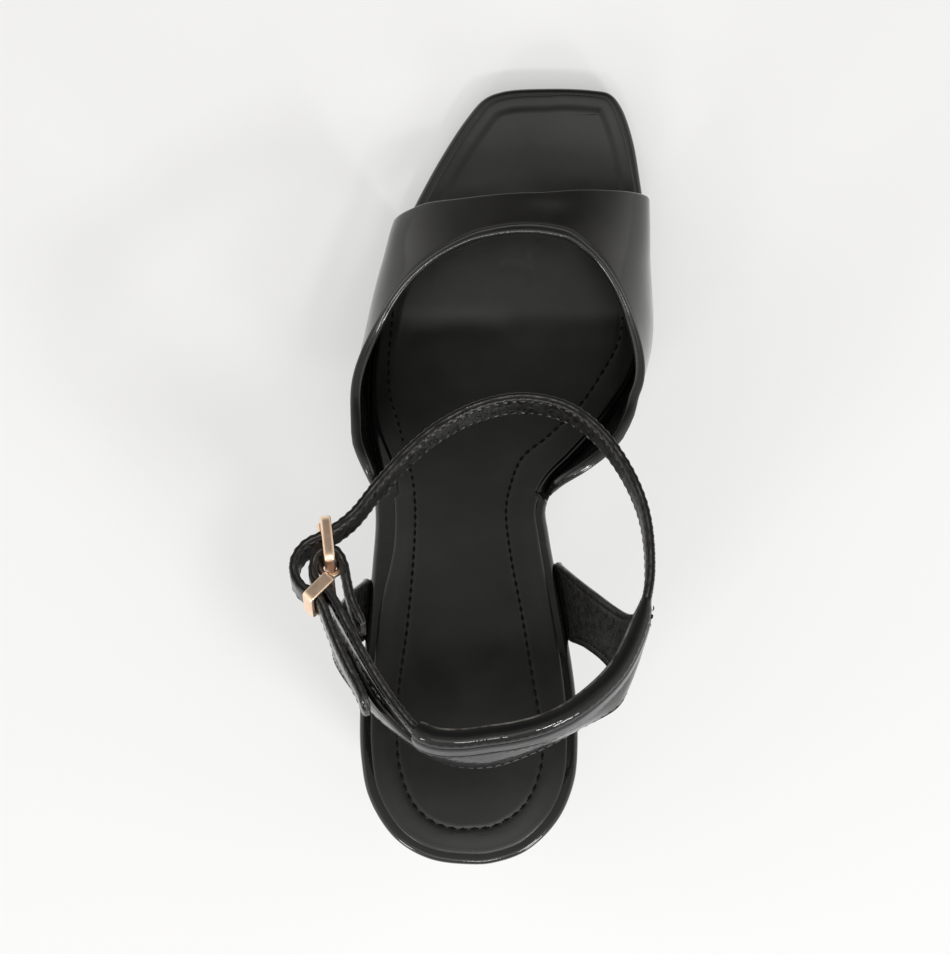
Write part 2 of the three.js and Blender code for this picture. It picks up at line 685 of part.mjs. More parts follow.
// Sweep of a flat section with eased edges along the strap's route, between two of its parts
function strapSweep(from, to, steps, sizeAt) {
  const section = [
    [-1, 0.6],
    [-0.5, 1],
    [0.5, 1],
    [1, 0.6],
    [1, -0.6],
    [0.5, -1],
    [-0.5, -1],
    [-1, -0.6],
  ];
  const bevel = 0.2 * STRAP_THICKNESS;
  const loops = Array.from({ length: steps + 1 }, (_, i) => {
    const t = lerp(from, to, i / steps);
    const { thickness, width } = sizeAt(t);
    const edge = width / 2;
    return section.map(([side, level]) => {
      const up = Math.sign(level) * (Math.abs(level) === 1 ? edge : edge - bevel);
      return besideStrap(t, (side * thickness) / 2, up);
    });
  });
  return loft(loops);
}

function strapRibbon() {
  const steps = 120;
  const roundTip = 0.02; // share of the route over which the tail's end is rounded
  return strapSweep(0, 1, steps, (t) => {
    const roundness = Math.sqrt(1 - (0.9 * Math.max(1 - (1 - t) / roundTip, 0)) ** 2);
    return { thickness: STRAP_THICKNESS, width: roundness * STRAP_WIDTH };
  });
}

// The sling's fold, a sleeve round the strap behind the ankle
function slingFold() {
  const steps = 26;
  const swelling = 0.16; // share of the fold over which its inner mouth reaches full size
  return strapSweep(TUNNEL.from, TUNNEL.to, steps, (t) => {
    const passed = (t - TUNNEL.from) / (TUNNEL.to - TUNNEL.from);
    const walls = 2 * TUNNEL_WALL * lerp(0.2, 1, smoothstep(passed, 0, swelling));
    return { thickness: STRAP_THICKNESS + walls, width: STRAP_WIDTH + walls };
  });
}

function slingEdges() {
  const seated = (row, end, depth) => {
    const y = row[end][1] * LENGTH;
    const edge = edgeAt(row.name.startsWith("inner") ? "inner" : "outer", y);
    return solePoint(edge.x + edge.out.x * GAP, y, depth);
  };
  const onFold = (row) => {
    const out = STRAP_THICKNESS / 2 + TUNNEL_WALL - GAP / 2 - SLING_WALL;
    return besideStrap(lerp(TUNNEL.from, TUNNEL.to, row.tunnel), out, 0);
  };
  const placeOf = (row, end) => {
    if (end === "high" && row.tunnel !== undefined) return onFold(row);
    const [x, y, up] = row[end];
    if (up === 0) return seated(row, end, 0);
    const foot = y * LENGTH;
    return vector(x * ANKLE_WIDTH, foot, lerp(boardTop(foot), ringTop(foot), up));
  };
  const [low, high] = ["low", "high"].map((end) => {
    const points = SLING_SECTIONS.map((row) => placeOf(row, end));
    points.unshift(seated(SLING_SECTIONS[0], end, OUTSOLE_TOP - GAP));
    points.push(seated(SLING_SECTIONS[SLING_SECTIONS.length - 1], end, OUTSOLE_TOP - GAP));
    return new THREE.CatmullRomCurve3(points, false, "centripetal");
  });
  return { low, high };
}

// The sling's sheet of leather, up one side of the heel, round its back and down the other
function slingSheet() {
  const { low, high } = slingEdges();
  const perSection = 3;
  const total = (SLING_SECTIONS.length + 1) * perSection;
  const facePoint = (u, v) => low.getPoint(u).lerp(high.getPoint(u), v);
  const stops = [
    { v: 0, from: 0.3, to: 0.7 },
    { v: 0.04, from: 0, to: 1 },
    { v: 0.5, from: 0, to: 1 },
    { v: 0.96, from: 0, to: 1 },
    { v: 1, from: 0.3, to: 0.7 },
  ];
  const loops = Array.from({ length: total + 1 }, (_, i) => {
    const u = i / total;
    const step = 0.004;
    const along = facePoint(Math.min(u + step, 1), 0.5).sub(facePoint(Math.max(u - step, 0), 0.5));
    const across = facePoint(u, 1).sub(facePoint(u, 0));
    const outwards = across.cross(along).normalize();
    const sheet = (column) => {
      return stops.map((stop) => {
        return facePoint(u, stop.v).addScaledVector(outwards, stop[column] * SLING_WALL);
      });
    };
    return [...sheet("from"), ...sheet("to").reverse()];
  });
  return loft(loops);
}

// Buckle: its frame stands across the strap, and its own axes are along, up and out of the strap
function buckleAxes() {
  const [x, y] = ringPlace(BUCKLE_REAR);
  const rear = ringPoint(x, y, 0);
  const along = ringPoint(x + Math.cos(BUCKLE_TURN), y + Math.sin(BUCKLE_TURN), 0).sub(rear);
  const front = rear.clone().addScaledVector(along, BUCKLE_LENGTH - BUCKLE_BAR);
  const up = ringPoint(0, 0, 1).sub(ringPoint(0, 0, 0));
  const out = along.clone().cross(up);
  return { rear, front, along, up, out };
}

function placed(geometry, origin, x, y, z) {
  const matrix = new THREE.Matrix4().makeBasis(x, y, z).setPosition(origin);
  return geometry.applyMatrix4(matrix);
}

function roundedRectangle(width, height, radius, Path = THREE.Shape) {
  const x = width / 2;
  const y = height / 2;
  const path = new Path();
  path.moveTo(-x + radius, -y);
  path.lineTo(x - radius, -y);
  path.absarc(x - radius, -y + radius, radius, -Math.PI / 2, 0);
  path.lineTo(x, y - radius);
  path.absarc(x - radius, y - radius, radius, 0, Math.PI / 2);
  path.lineTo(-x + radius, y);
  path.absarc(-x + radius, y - radius, radius, Math.PI / 2, Math.PI);
  path.lineTo(-x, -y + radius);
  path.absarc(-x + radius, -y + radius, radius, Math.PI, Math.PI * 1.5);
  return path;
}

function buckleFrame() {
  const { rear, along, up, out } = buckleAxes();
  const opening = STRAP_WIDTH + 2 * BUCKLE_CLEARANCE;
  const shape = roundedRectangle(BUCKLE_LENGTH, opening + 2 * BUCKLE_BAR, 0.7 * BUCKLE_BAR);
  const inside = BUCKLE_LENGTH - 2 * BUCKLE_BAR;
  shape.holes.push(roundedRectangle(inside, opening, 0.2 * BUCKLE_BAR, THREE.Path));
  const bevel = 0.18 * BUCKLE_BAR;
  const geometry = new THREE.ExtrudeGeometry(shape, {
    depth: BUCKLE_THICKNESS - 2 * bevel,
    curveSegments: 2,
    bevelEnabled: true,
    bevelThickness: bevel,
    bevelSize: bevel,
    bevelOffset: -bevel,
    bevelSegments: 1,
  });
  geometry.translate(BUCKLE_LENGTH / 2 - BUCKLE_BAR / 2, 0, bevel - BUCKLE_THICKNESS / 2);
  placed(geometry, rear, along, up, out);
  return geometryOf(solidOf(geometry).subtract(solidOf(bucklePin(PRONG_RADIUS + GAP))));
}

// Round pin along a curve, as a loft of rings
function pinAlong(points, radius, sides = 8) {
  const curve = new THREE.CatmullRomCurve3(points, false, "centripetal");
  const { up } = buckleAxes();
  const steps = 15;
  const loops = Array.from({ length: steps + 1 }, (_, i) => {
    const middle = curve.getPointAt(i / steps);
    const along = curve.getTangentAt(i / steps);
    const side = along.clone().cross(up).normalize();
    return Array.from({ length: sides }, (_, j) => {
      const angle = ((j + 0.5) / sides) * 2 * Math.PI;
      return middle
        .clone()
        .addScaledVector(side, Math.cos(angle) * radius)
        .addScaledVector(up, Math.sin(angle) * radius);
    });
  });
  return loft(loops);
}

// The prong hooks round the rear bar and lies in a notch on the outside of the front bar
function prongRoute() {
  const { rear, front, along, out } = buckleAxes();
  const clear = PRONG_RADIUS + GAP;
  const hook = BUCKLE_THICKNESS / 2 + clear;
  const behind = BUCKLE_BAR / 2 + clear;
  const at = (origin, forwards, outwards) => {
    return origin.clone().addScaledVector(along, forwards).addScaledVector(out, outwards);
  };
  return [
    at(rear, 0.2 * BUCKLE_BAR, 1.08 * hook),
    at(rear, -0.75 * behind, 0.8 * hook),
    at(rear, -1.07 * behind, 0),
    at(rear, -0.75 * behind, -0.8 * hook),
    at(rear, 0.2 * BUCKLE_BAR, -1.08 * hook),
    at(rear, 1.35 * BUCKLE_BAR, -1.04 * hook),
    at(front, -1.1 * BUCKLE_BAR, PRONG_SUNK - 1.04 * hook),
    at(front, 0, PRONG_SUNK - hook),
    at(front, 0.7 * BUCKLE_BAR, PRONG_SUNK - hook),
  ];
}

function bucklePin(radius) {
  return pinAlong(prongRoute(), radius);
}

function strapKeeper() {
  const [x, y] = ringPlace(KEEPER_PLACE);
  const { up } = buckleAxes();
  const long = ringPoint(x + Math.cos(KEEPER_TURN), y + Math.sin(KEEPER_TURN), 0).sub(ringPoint(x, y, 0));
  const band = long.clone().cross(up);
  const inside = [2 * STRAP_THICKNESS + 3 * KEEPER_CLEARANCE, STRAP_WIDTH + 2 * KEEPER_CLEARANCE];
  const outside = inside.map((size) => size + 2 * KEEPER_WALL);
  const shape = roundedRectangle(...outside, 0.6 * KEEPER_WALL);
  shape.holes.push(roundedRectangle(...inside, 0.2 * KEEPER_WALL, THREE.Path));
  const bevel = 0.2 * KEEPER_WALL;
  const geometry = new THREE.ExtrudeGeometry(shape, {
    depth: KEEPER_BAND - 2 * bevel,
    curveSegments: 2,
    bevelEnabled: true,
    bevelThickness: bevel,
    bevelSize: bevel,
    bevelOffset: -bevel,
    bevelSegments: 1,
  });
  geometry.translate(0, 0, bevel - KEEPER_BAND / 2);
  return placed(geometry, ringPoint(x, y, 0), long, up, band);
}

// Strap and sling are one piece where they cross, with a slot where the prong passes
function ankleStrap() {
  const slot = solidOf(bucklePin(PRONG_RADIUS + GAP));
  const sling = solidOf(slingFold()).add(solidOf(slingSheet()));
  return geometryOf(solidOf(strapRibbon()).add(sling).subtract(slot));
}

const group = new THREE.Group();

function addPiece(name, geometry, finish) {
  const [color, roughness, metalness] = FINISHES[finish];
  const material = new THREE.MeshStandardMaterial({ color, roughness, metalness });
  const mesh = new THREE.Mesh(geometry, material);
  mesh.name = name;
  group.add(mesh);
}

addPiece("outsole", outsole(), "rubber");
addPiece("insole_board", insoleBoard(), "patent");
addPiece("sock_lining", sockLining(), "sock");
addPiece("heel_block", heelBlock(), "patent");
addPiece("heel_top_piece", topPiece(), "rubber");
addPiece("vamp", vamp(), "leather");
addPiece("ankle_strap", ankleStrap(), "patent");
addPiece("buckle_frame", buckleFrame(), "metal");
addPiece("buckle_prong", bucklePin(PRONG_RADIUS), "metal");
addPiece("strap_keeper", strapKeeper(), "metal");

// The origin is the middle of the shoe's box, on the floor
const box = new THREE.Box3().setFromObject(group);
const middle = box.getCenter(vector());
group.position.set(-middle.x, -middle.y, -box.min.z);

export default group;
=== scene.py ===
"""A black high heel sandal, seen from straight above on a pale floor."""

import math

import bmesh
import bpy
import numpy as np
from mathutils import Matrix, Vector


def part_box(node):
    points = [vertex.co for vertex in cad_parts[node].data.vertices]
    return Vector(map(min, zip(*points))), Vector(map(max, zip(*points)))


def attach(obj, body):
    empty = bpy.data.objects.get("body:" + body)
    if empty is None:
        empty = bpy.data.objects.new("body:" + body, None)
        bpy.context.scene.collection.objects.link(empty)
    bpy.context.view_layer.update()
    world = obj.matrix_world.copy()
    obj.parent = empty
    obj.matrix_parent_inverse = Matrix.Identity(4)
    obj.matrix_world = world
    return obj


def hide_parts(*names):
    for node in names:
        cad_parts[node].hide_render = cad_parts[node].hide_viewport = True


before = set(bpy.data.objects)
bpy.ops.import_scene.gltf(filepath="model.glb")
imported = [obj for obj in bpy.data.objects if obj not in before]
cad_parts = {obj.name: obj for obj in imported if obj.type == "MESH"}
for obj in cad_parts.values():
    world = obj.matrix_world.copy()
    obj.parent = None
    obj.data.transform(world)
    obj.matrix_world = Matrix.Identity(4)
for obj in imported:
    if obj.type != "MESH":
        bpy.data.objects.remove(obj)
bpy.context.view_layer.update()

# Sizes in millimetres, as in the part's source
LENGTH = 220
BALL_WIDTH = 86
HEEL_RISE = 91
TOE_SPRING = 3.5
GAP = 0.3
OUTSOLE_THICKNESS = 2.4
BOARD_THICKNESS = 3.4
SOCK_THICKNESS = 1.3
SOCK_MARGIN = 3
SEAT_INSET = 0.8
SEAT_LENGTH = 46
TOP_PIECE = (27, 27, 5, 3.5)  # width, depth, thickness, place of its rear edge
VAMP_WALL = 2.2
INSTEP_HEIGHT = 27.5
STRAP_WIDTH = 11
STRAP_THICKNESS = 2.4
ANKLE_WIDTH = 84
ANKLE_DEPTH = 94
ANKLE_HEIGHT = 54
ANKLE_LEAN = math.radians(20)
ANKLE_BACK = 38
SLING_WALL = 2
TUNNEL_WALL = 1.2
BUCKLE_LENGTH = 13.2
BUCKLE_BAR = 2.2
BUCKLE_THICKNESS = 2.9
BUCKLE_CLEARANCE = 1
PRONG_RADIUS = 0.8
PRONG_SUNK = 1
KEEPER_BAND = 3.4
KEEPER_WALL = 1.3
KEEPER_CLEARANCE = 0.55
LAST_ROUNDNESS = 0.8

# Stitching and seams in millimetres
STITCH_PITCH = 2.4
SOCK_PITCH = 3
STRAP_SEAM = 4.25  # from the strap's middle line
FOLD_SEAM = 3.5  # the same on the sling's fold
SLING_SEAM = 2  # from the sling's edges
SOCK_SEAM = (0.24, 0.7)  # depth and width
PUFF = 0.11  # swelling of the strap's edge between stitches
SLING_BOW = 0.5  # outward bow of the sling across its width

# along, rise, spring
PROFILE = [
    (0, 1, 0), (0.09, 0.965, 0), (0.18, 0.905, 0), (0.25, 0.822, 0), (0.34, 0.645, 0),
    (0.432, 0.432, 0), (0.523, 0.218, 0), (0.59, 0.093, 0), (0.66, 0.02, 0), (0.7, 0, 0),
    (0.82, 0, 0), (0.91, 0, 0.3), (1, 0, 1),
]
# across, along: the sole's edge from the heel's back round the outer side
OUTLINE = [
    (-0.016, -0.001), (-0.147, 0.006), (-0.255, 0.031), (-0.337, 0.08), (-0.364, 0.13),
    (-0.369, 0.19), (-0.352, 0.29), (-0.337, 0.37), (-0.331, 0.43), (-0.349, 0.488),
    (-0.381, 0.54), (-0.393, 0.6), (-0.37, 0.68), (-0.312, 0.76), (-0.216, 0.838), (-0.12, 0.907),
    (-0.031, 0.96), (0.031, 0.987), (0.095, 0.997), (0.233, 1.001), (0.4, 0.999), (0.462, 0.994),
    (0.5, 0.977), (0.54, 0.935), (0.566, 0.88), (0.59, 0.81), (0.607, 0.74), (0.614, 0.686),
    (0.602, 0.645), (0.569, 0.607), (0.513, 0.573), (0.433, 0.533), (0.345, 0.497), (0.274, 0.47),
    (0.236, 0.44), (0.243, 0.41), (0.268, 0.35), (0.299, 0.28), (0.323, 0.21), (0.329, 0.15),
    (0.316, 0.1), (0.263, 0.053), (0.165, 0.016), (0.06, 0.001),
]
# along, outer, inner
SOCK_RIM = [
    (0, 1, 1), (0.3, 1.05, 1), (0.4, 1.9, 1), (0.47, 1.9, 1), (0.56, 1.1, 1.1), (0.7, 0.9, 0.9),
    (0.85, 0.8, 0.6), (0.96, 0.85, 0.75), (1, 0.7, 0.6),
]
# along, crown, outer, inner
LAST_SECTIONS = [
    (0.45, 3.1, 0.1, 0.11), (0.52, 2.73, 0.1, 0.19), (0.56, 2.42, 0.065, 0.108),
    (0.595, 2.1, 0.05, 0.025), (0.68, 1.53, 0.017, -0.017), (0.76, 1.25, 0.036, 0.004),
    (0.81, 1.137, 0.07, 0.03), (0.87, 0.9, 0.1, 0.052),
]
# across, along, half width, half length, depth in millimetres: soft hollows in the vamp's top
VAMP_DENTS = [(0.25, 0.845, 0.09, 0.016, 0.9), (-0.24, 0.845, 0.06, 0.018, 0.7)]
# across, front, rear
VAMP_ROWS = [
    (-1, 0.817, 0.465), (-0.93, 0.818, 0.505), (-0.87, 0.819, 0.572), (-0.8, 0.82, 0.614),
    (-0.7, 0.824, 0.66), (-0.58, 0.832, 0.7), (-0.45, 0.84, 0.737), (-0.3, 0.844, 0.769),
    (-0.15, 0.849, 0.789), (0, 0.853, 0.796), (0.15, 0.856, 0.79), (0.3, 0.857, 0.767),
    (0.45, 0.857, 0.732), (0.58, 0.856, 0.694), (0.7, 0.855, 0.653), (0.8, 0.853, 0.61),
    (0.87, 0.852, 0.57), (0.93, 0.851, 0.502), (1, 0.85, 0.462),
]
# The strap's route: near the buckle (shares of its length), round the ring, near the buckle again
ROUTE_START = [
    (0.67, -1.3), (0.46, -0.85), (0.34, -0.39), (0.27, -0.04), (0.13, 0.21), (-0.07, 0.27),
    (-0.26, 0.14), (-0.33, -0.14), (-0.3, -0.33), (-0.13, -0.49), (0.07, -0.76), (0.39, -1.38),
    (0.79, -2.12), (1.13, -2.68), (1.44, -3.11),
]
ROUTE_RING = [
    (-0.18, 0.014), (-0.129, -0.01), (-0.052, -0.016), (0.033, -0.007), (0.132, 0.007),
    (0.231, 0.034), (0.336, 0.09), (0.445, 0.19), (0.518, 0.333), (0.534, 0.39), (0.548, 0.473),
    (0.536, 0.64), (0.485, 0.77), (0.396, 0.89), (0.29, 0.964), (0.155, 0.991), (0.02, 0.969),
    (-0.11, 0.908), (-0.214, 0.827), (-0.314, 0.722),
]
ROUTE_TAIL = [
    (0.44, 1), (-0.06, 0.6), (-0.49, 0.36), (-0.7, 0.03), (-0.68, -0.31), (-0.52, -0.54),
    (-0.28, -0.67), (-0.13, -0.91), (0.05, -1.39), (0.33, -2.05), (0.65, -2.69), (0.77, -3.04),
]
OUTER_MOUTH = len(ROUTE_START)
INNER_MOUTH = len(ROUTE_START) + 9
BUCKLE_REAR = (-0.4535, 0.499)
BUCKLE_TURN = math.radians(96.4)
KEEPER_PLACE = (-0.21, -0.58)
KEEPER_TURN = math.radians(46)
# side, low edge (x, y, up), high edge (x, y, up) or share of the fold passed
SLING_SECTIONS = [
    ("inner", (0, 0.272, 0), (0, 0.37, 0)), ("inner", (0.352, 0.268, 0.22), (0.372, 0.341, 0.34)),
    ("inner", (0.41, 0.252, 0.44), (0.474, 0.316, 0.62)),
    ("inner", (0.443, 0.233, 0.59), (0.512, 0.318, 0.8)), ("inner", (0.45, 0.218, 0.65), 0.04),
    ("inner", (0.424, 0.205, 0.66), 0.2), ("inner", (0.33, 0.188, 0.65), 0.4),
    ("inner", (0.197, 0.16, 0.63), 0.57), ("back", (0.045, 0.14, 0.615), 0.75),
    ("outer", (-0.095, 0.145, 0.615), 0.9), ("outer", (-0.203, 0.17, 0.625), 1),
    ("outer", (-0.29, 0.196, 0.63), (-0.284, 0.212, 0.87)),
    ("outer", (-0.376, 0.228, 0.6), (-0.368, 0.262, 0.79)),
    ("outer", (-0.43, 0.256, 0.47), (-0.428, 0.306, 0.66)),
    ("outer", (-0.415, 0.266, 0.24), (-0.404, 0.332, 0.37)),
    ("outer", (0, 0.272, 0), (0, 0.35, 0)),
]
# drop, back, front, side
HEEL_SECTIONS = [
    (0, 0, 0, 0), (0.1, 0.1, 0.2, 0.2), (0.25, 0.35, 0.52, 0.5), (0.45, 0.72, 0.82, 0.8),
    (0.7, 0.98, 1, 1), (1, 1, 1, 1),
]
# across, along: lines of stitching on the sock
STITCH_OUTER = [
    (-0.285, 0.76), (-0.281, 0.706), (-0.294, 0.639), (-0.289, 0.59), (-0.267, 0.561),
    (-0.235, 0.517), (-0.207, 0.473), (-0.199, 0.441), (-0.201, 0.386), (-0.22, 0.289),
    (-0.244, 0.215), (-0.249, 0.153), (-0.239, 0.117), (-0.2, 0.077), (-0.14, 0.054),
    (-0.064, 0.044), (-0.01, 0.044), (0.057, 0.047), (0.143, 0.067), (0.188, 0.093),
    (0.214, 0.13), (0.208, 0.172), (0.18, 0.24), (0.149, 0.313), (0.115, 0.386), (0.103, 0.439),
    (0.12, 0.472), (0.158, 0.506), (0.247, 0.535), (0.36, 0.578), (0.43, 0.618), (0.493, 0.664),
    (0.507, 0.7),
]
# points (across, along), depth, width
CREASES = [
    ([(0.09, 0.761), (0.12, 0.766), (0.19, 0.757)], 0.07, 0.7),
    ([(0.185, 0.775), (0.188, 0.745)], 0.1, 0.7),
    ([(-0.2, 0.676), (-0.06, 0.683), (0.07, 0.68)], 0.5, 4),
    ([(0.02, 0.6), (0.13, 0.62), (0.24, 0.61)], 0.25, 5),
    ([(-0.1, 0.5), (0, 0.48), (0.06, 0.49)], 0.35, 4),
    ([(-0.14, 0.3), (-0.02, 0.29), (0.09, 0.31)], 0.25, 5),
]


# Curves and surfaces


def column(xs, ys):
    """Smooth curve through a table's rows that never overshoots them."""
    xs, ys = np.array(xs, float), np.array(ys, float)
    d = np.diff(ys) / np.diff(xs)
    m = np.zeros(len(xs))
    m[0], m[-1] = d[0], d[-1]
    for i in range(1, len(d)):
        m[i] = 0 if d[i - 1] * d[i] <= 0 else 2 * d[i - 1] * d[i] / (d[i - 1] + d[i])

    def at(x):
        x = np.clip(np.asarray(x, float), xs[0], xs[-1])
        i = np.clip(np.searchsorted(xs, x, side="right") - 1, 0, len(xs) - 2)
        h = xs[i + 1] - xs[i]
        t = (x - xs[i]) / h
        keep = (1 + 2 * t) * (1 - t) ** 2 * ys[i] + t * (1 - t) ** 2 * h * m[i]
        return keep + t * t * (3 - 2 * t) * ys[i + 1] + t * t * (t - 1) * h * m[i + 1]

    return at


def columns(rows):
    along, *rest = zip(*rows)
    return [column(along, values) for values in rest]


def smooth_curve(points, closed=False):
    """Centripetal curve through the points, over 0 to 1."""
    p = np.array(points, float)
    n = len(p)

    def at(t):
        t = np.atleast_1d(np.asarray(t, float))
        q = (n if closed else n - 1) * t
        k = np.floor(q).astype(int)
        w = (q - k)[:, None]
        if closed:
            quad = [p[(k + j) % n] for j in (-1, 0, 1, 2)]
        else:
            last = k >= n - 1
            k = np.where(last, n - 2, k)
            w[last] = 1
            longer = np.vstack([2 * p[0] - p[1], p, 2 * p[-1] - p[-2]])
            quad = [longer[k + j] for j in range(4)]
        a, b, c, d = quad
        steps = [
            np.maximum(((v - u) ** 2).sum(1), 1e-12)[:, None] ** 0.25
            for u, v in ((a, b), (b, c), (c, d))
        ]
        e, f, g = steps
        leave = ((b - a) / e - (c - a) / (e + f) + (c - b) / f) * f
        land = ((c - b) / f - (d - b) / (f + g) + (d - c) / g) * f
        return (
            b
            + leave * w
            + (-3 * b + 3 * c - 2 * leave - land) * w**2
            + (2 * b - 2 * c + leave + land) * w**3
        )

    return at


def run_along(line):
    """Distance from a line's start to each of its points."""
    return np.concatenate([[0], np.cumsum(np.linalg.norm(np.diff(line, axis=0), axis=1))])


def unit(v):
    return v / np.maximum(np.linalg.norm(v, axis=-1, keepdims=True), 1e-12)


def lerp(a, b, t):
    return a + (b - a) * t


def smoothstep(x):
    x = np.clip(x, 0, 1)
    return x * x * (3 - 2 * x)


def quarter_round(inset, radius):
    """Height of a round edge at a distance in from it."""
    return np.sqrt(np.maximum(radius**2 - (radius - np.minimum(inset, radius)) ** 2, 0))


# The sole's surface

BOARD_TOP = OUTSOLE_THICKNESS + GAP + BOARD_THICKNESS
BOARD_BOTTOM = BOARD_THICKNESS
OUTSOLE_TOP = BOARD_BOTTOM + GAP
OUTSOLE_BOTTOM = OUTSOLE_TOP + OUTSOLE_THICKNESS
rise_at, spring_at = columns(PROFILE)


def board_top(y):
    along = np.asarray(y, float) / LENGTH
    return BOARD_TOP + rise_at(along) * (HEEL_RISE - BOARD_TOP) + spring_at(along) * TOE_SPRING


def sole_height(y, depth):
    slope = board_top(y + 0.5) - board_top(y - 0.5)
    return board_top(y) - depth * np.hypot(1, slope)


outline = smooth_curve([(a * BALL_WIDTH, b * LENGTH) for a, b in OUTLINE], True)(
    np.linspace(0, 1, 3600, endpoint=False)
)
rearmost, foremost = outline[:, 1].argmin(), outline[:, 1].argmax()


def turned(a, b):
    return outline[(a + np.arange((b - a) % len(outline) + 1)) % len(outline)]


SIDES = {"outer": turned(rearmost, foremost), "inner": turned(foremost, rearmost)[::-1]}
REAR_END, FRONT_END = outline[rearmost, 1], outline[foremost, 1]


def edge(side, y):
    """Edge of the sole at y on one side: x, and the direction out of it."""
    points = SIDES[side]
    rows = np.maximum.accumulate(points[:, 1]) + np.arange(len(points)) * 1e-9
    n = len(points)
    at = np.arange(n)
    along = unit(points[np.minimum(at + 12, n - 1)] - points[np.maximum(at - 12, 0)])
    turn = -1 if side == "outer" else 1
    y = np.asarray(y, float)
    x = np.interp(y, rows, points[:, 0])
    ox = np.interp(y, rows, turn * along[:, 1])
    oy = np.interp(y, rows, -turn * along[:, 0])
    size = np.hypot(ox, oy)
    return x, ox / size, oy / size


ZONE_RAMP = 0.7 * VAMP_WALL


def zone(row):
    return (row[2] * LENGTH - ZONE_RAMP, row[1] * LENGTH + ZONE_RAMP / 2)


VAMP_ZONES = {"outer": zone(VAMP_ROWS[0]), "inner": zone(VAMP_ROWS[-1])}
SLING_ZONES = {
    row[0]: (row[1][1] * LENGTH + ZONE_RAMP, row[2][1] * LENGTH - ZONE_RAMP)
    for row in (SLING_SECTIONS[0], SLING_SECTIONS[-1])
}


def within(y, span):
    low, high = span
    return smoothstep((y - low) / ZONE_RAMP + 1) * smoothstep((high - y) / ZONE_RAMP + 1)


STATIONS = REAR_END + (FRONT_END - REAR_END) * (1 - np.cos(np.linspace(0, np.pi, 241))) / 2
extra = [
    low + d
    for span in (*VAMP_ZONES.values(), *SLING_ZONES.values())
    for low in span
    for d in np.linspace(-ZONE_RAMP, ZONE_RAMP, 7)
]
STATIONS = np.sort(np.concatenate([STATIONS, extra]))
STATIONS = STATIONS[np.concatenate([[True], np.diff(STATIONS) > 0.012])]


def sole_loop(inset, depth):
    sides = []
    for side in ("outer", "inner"):
        x, ox, oy = edge(side, STATIONS)
        by = inset(STATIONS, side)
        y = STATIONS - oy * by
        at_depth = depth(STATIONS) if callable(depth) else depth
        sides.append(np.stack([x - ox * by, y, sole_height(y, at_depth)], 1))
    return np.vstack([sides[0], sides[1][::-1]])


# Meshes

# Millimetres from the sole's own frame to the part's: the top piece's middle is known in both
seat_x = [edge(side, SEAT_LENGTH)[0] for side in ("outer", "inner")]
SEAT_MIDDLE, SEAT_HALF = sum(seat_x) / 2, (seat_x[1] - seat_x[0]) / 2 - SEAT_INSET
low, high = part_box("heel_top_piece")
SHIFT = np.array(
    [
        SEAT_MIDDLE - (low[0] + high[0]) * 500,
        TOP_PIECE[3] + TOP_PIECE[1] / 2 - (low[1] + high[1]) * 500,
        -low[2] * 1000,
    ]
)


def grid_faces(rows, n, wrap, start=0):
    faces = []
    for r in range(rows - 1):
        for i in range(n if wrap else n - 1):
            a = start + r * n + i
            b = start + r * n + (i + 1) % n
            faces.append((a, b, b + n, a + n))
    return faces


def make(name, verts, faces, body="root", sharp=35, parts=None, slots=None):
    """Mesh object from points in millimetres. parts gives each face's material."""
    mesh = bpy.data.meshes.new(name)
    mesh.from_pydata(((np.asarray(verts) - SHIFT) / 1000).tolist(), [], faces)
    for slot in slots or []:
        mesh.materials.append(slot)
    if parts is not None:
        mesh.polygons.foreach_set("material_index", np.asarray(parts, int))
    bm = bmesh.new()
    bm.from_mesh(mesh)
    bmesh.ops.remove_doubles(bm, verts=bm.verts, dist=2e-6)
    bmesh.ops.dissolve_degenerate(bm, dist=1e-7, edges=bm.edges)
    bmesh.ops.recalc_face_normals(bm, faces=bm.faces)
    bm.to_mesh(mesh)
    bm.free()
    mesh.polygons.foreach_set("use_smooth", [True] * len(mesh.polygons))
    mesh.set_sharp_from_angle(angle=math.radians(sharp))
    piece = bpy.data.objects.new(name, mesh)
    bpy.context.scene.collection.objects.link(piece)
    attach(piece, body)
    return piece


def cap(loop, cols, lift=None):
    """Rungs across a loop, between its points i and n - 1 - i, as a grid of its own."""
    half = len(loop) // 2
    left, right = loop[:half], loop[::-1][:half]
    t = np.linspace(0, 1, cols + 1)[None, :, None]
    points = left[:, None, :] * (1 - t) + right[:, None, :] * t
    if lift is not None:
        points[..., 2] = lift(points[..., 0], points[..., 1])
        points[:, 0], points[:, -1] = left, right
    return points.reshape(-1, 3), grid_faces(half, cols + 1, False)


def closed(loops, caps=(1, 1), lifts=(None, None)):
    """Points and faces over a row of loops, each end closed by rungs. Their faces come last."""
    verts = [np.vstack(loops)]
    faces = grid_faces(len(loops), len(loops[0]), True)
    for loop, cols, lift in ((loops[0], caps[0], lifts[0]), (loops[-1], caps[1], lifts[1])):
        points, rungs = cap(loop, cols, lift)
        start = sum(map(len, verts))
        verts.append(points)
        faces += [tuple(start + i for i in face) for face in rungs]
    return np.vstack(verts), faces


def shell(name, loops, caps=(1, 1), lifts=(None, None), **more):
    """Closed mesh object over a row of loops."""
    return make(name, *closed(loops, caps, lifts), **more)


def loops_mesh(name, loops, column_parts, end_part, slots, **more):
    """Closed mesh object with a material for each column of faces and one for the ends."""
    verts, faces = closed(loops)
    parts = list(column_parts) * (len(loops) - 1)
    parts += [end_part] * (len(faces) - len(parts))
    return make(name, verts, faces, parts=parts, slots=slots, **more)


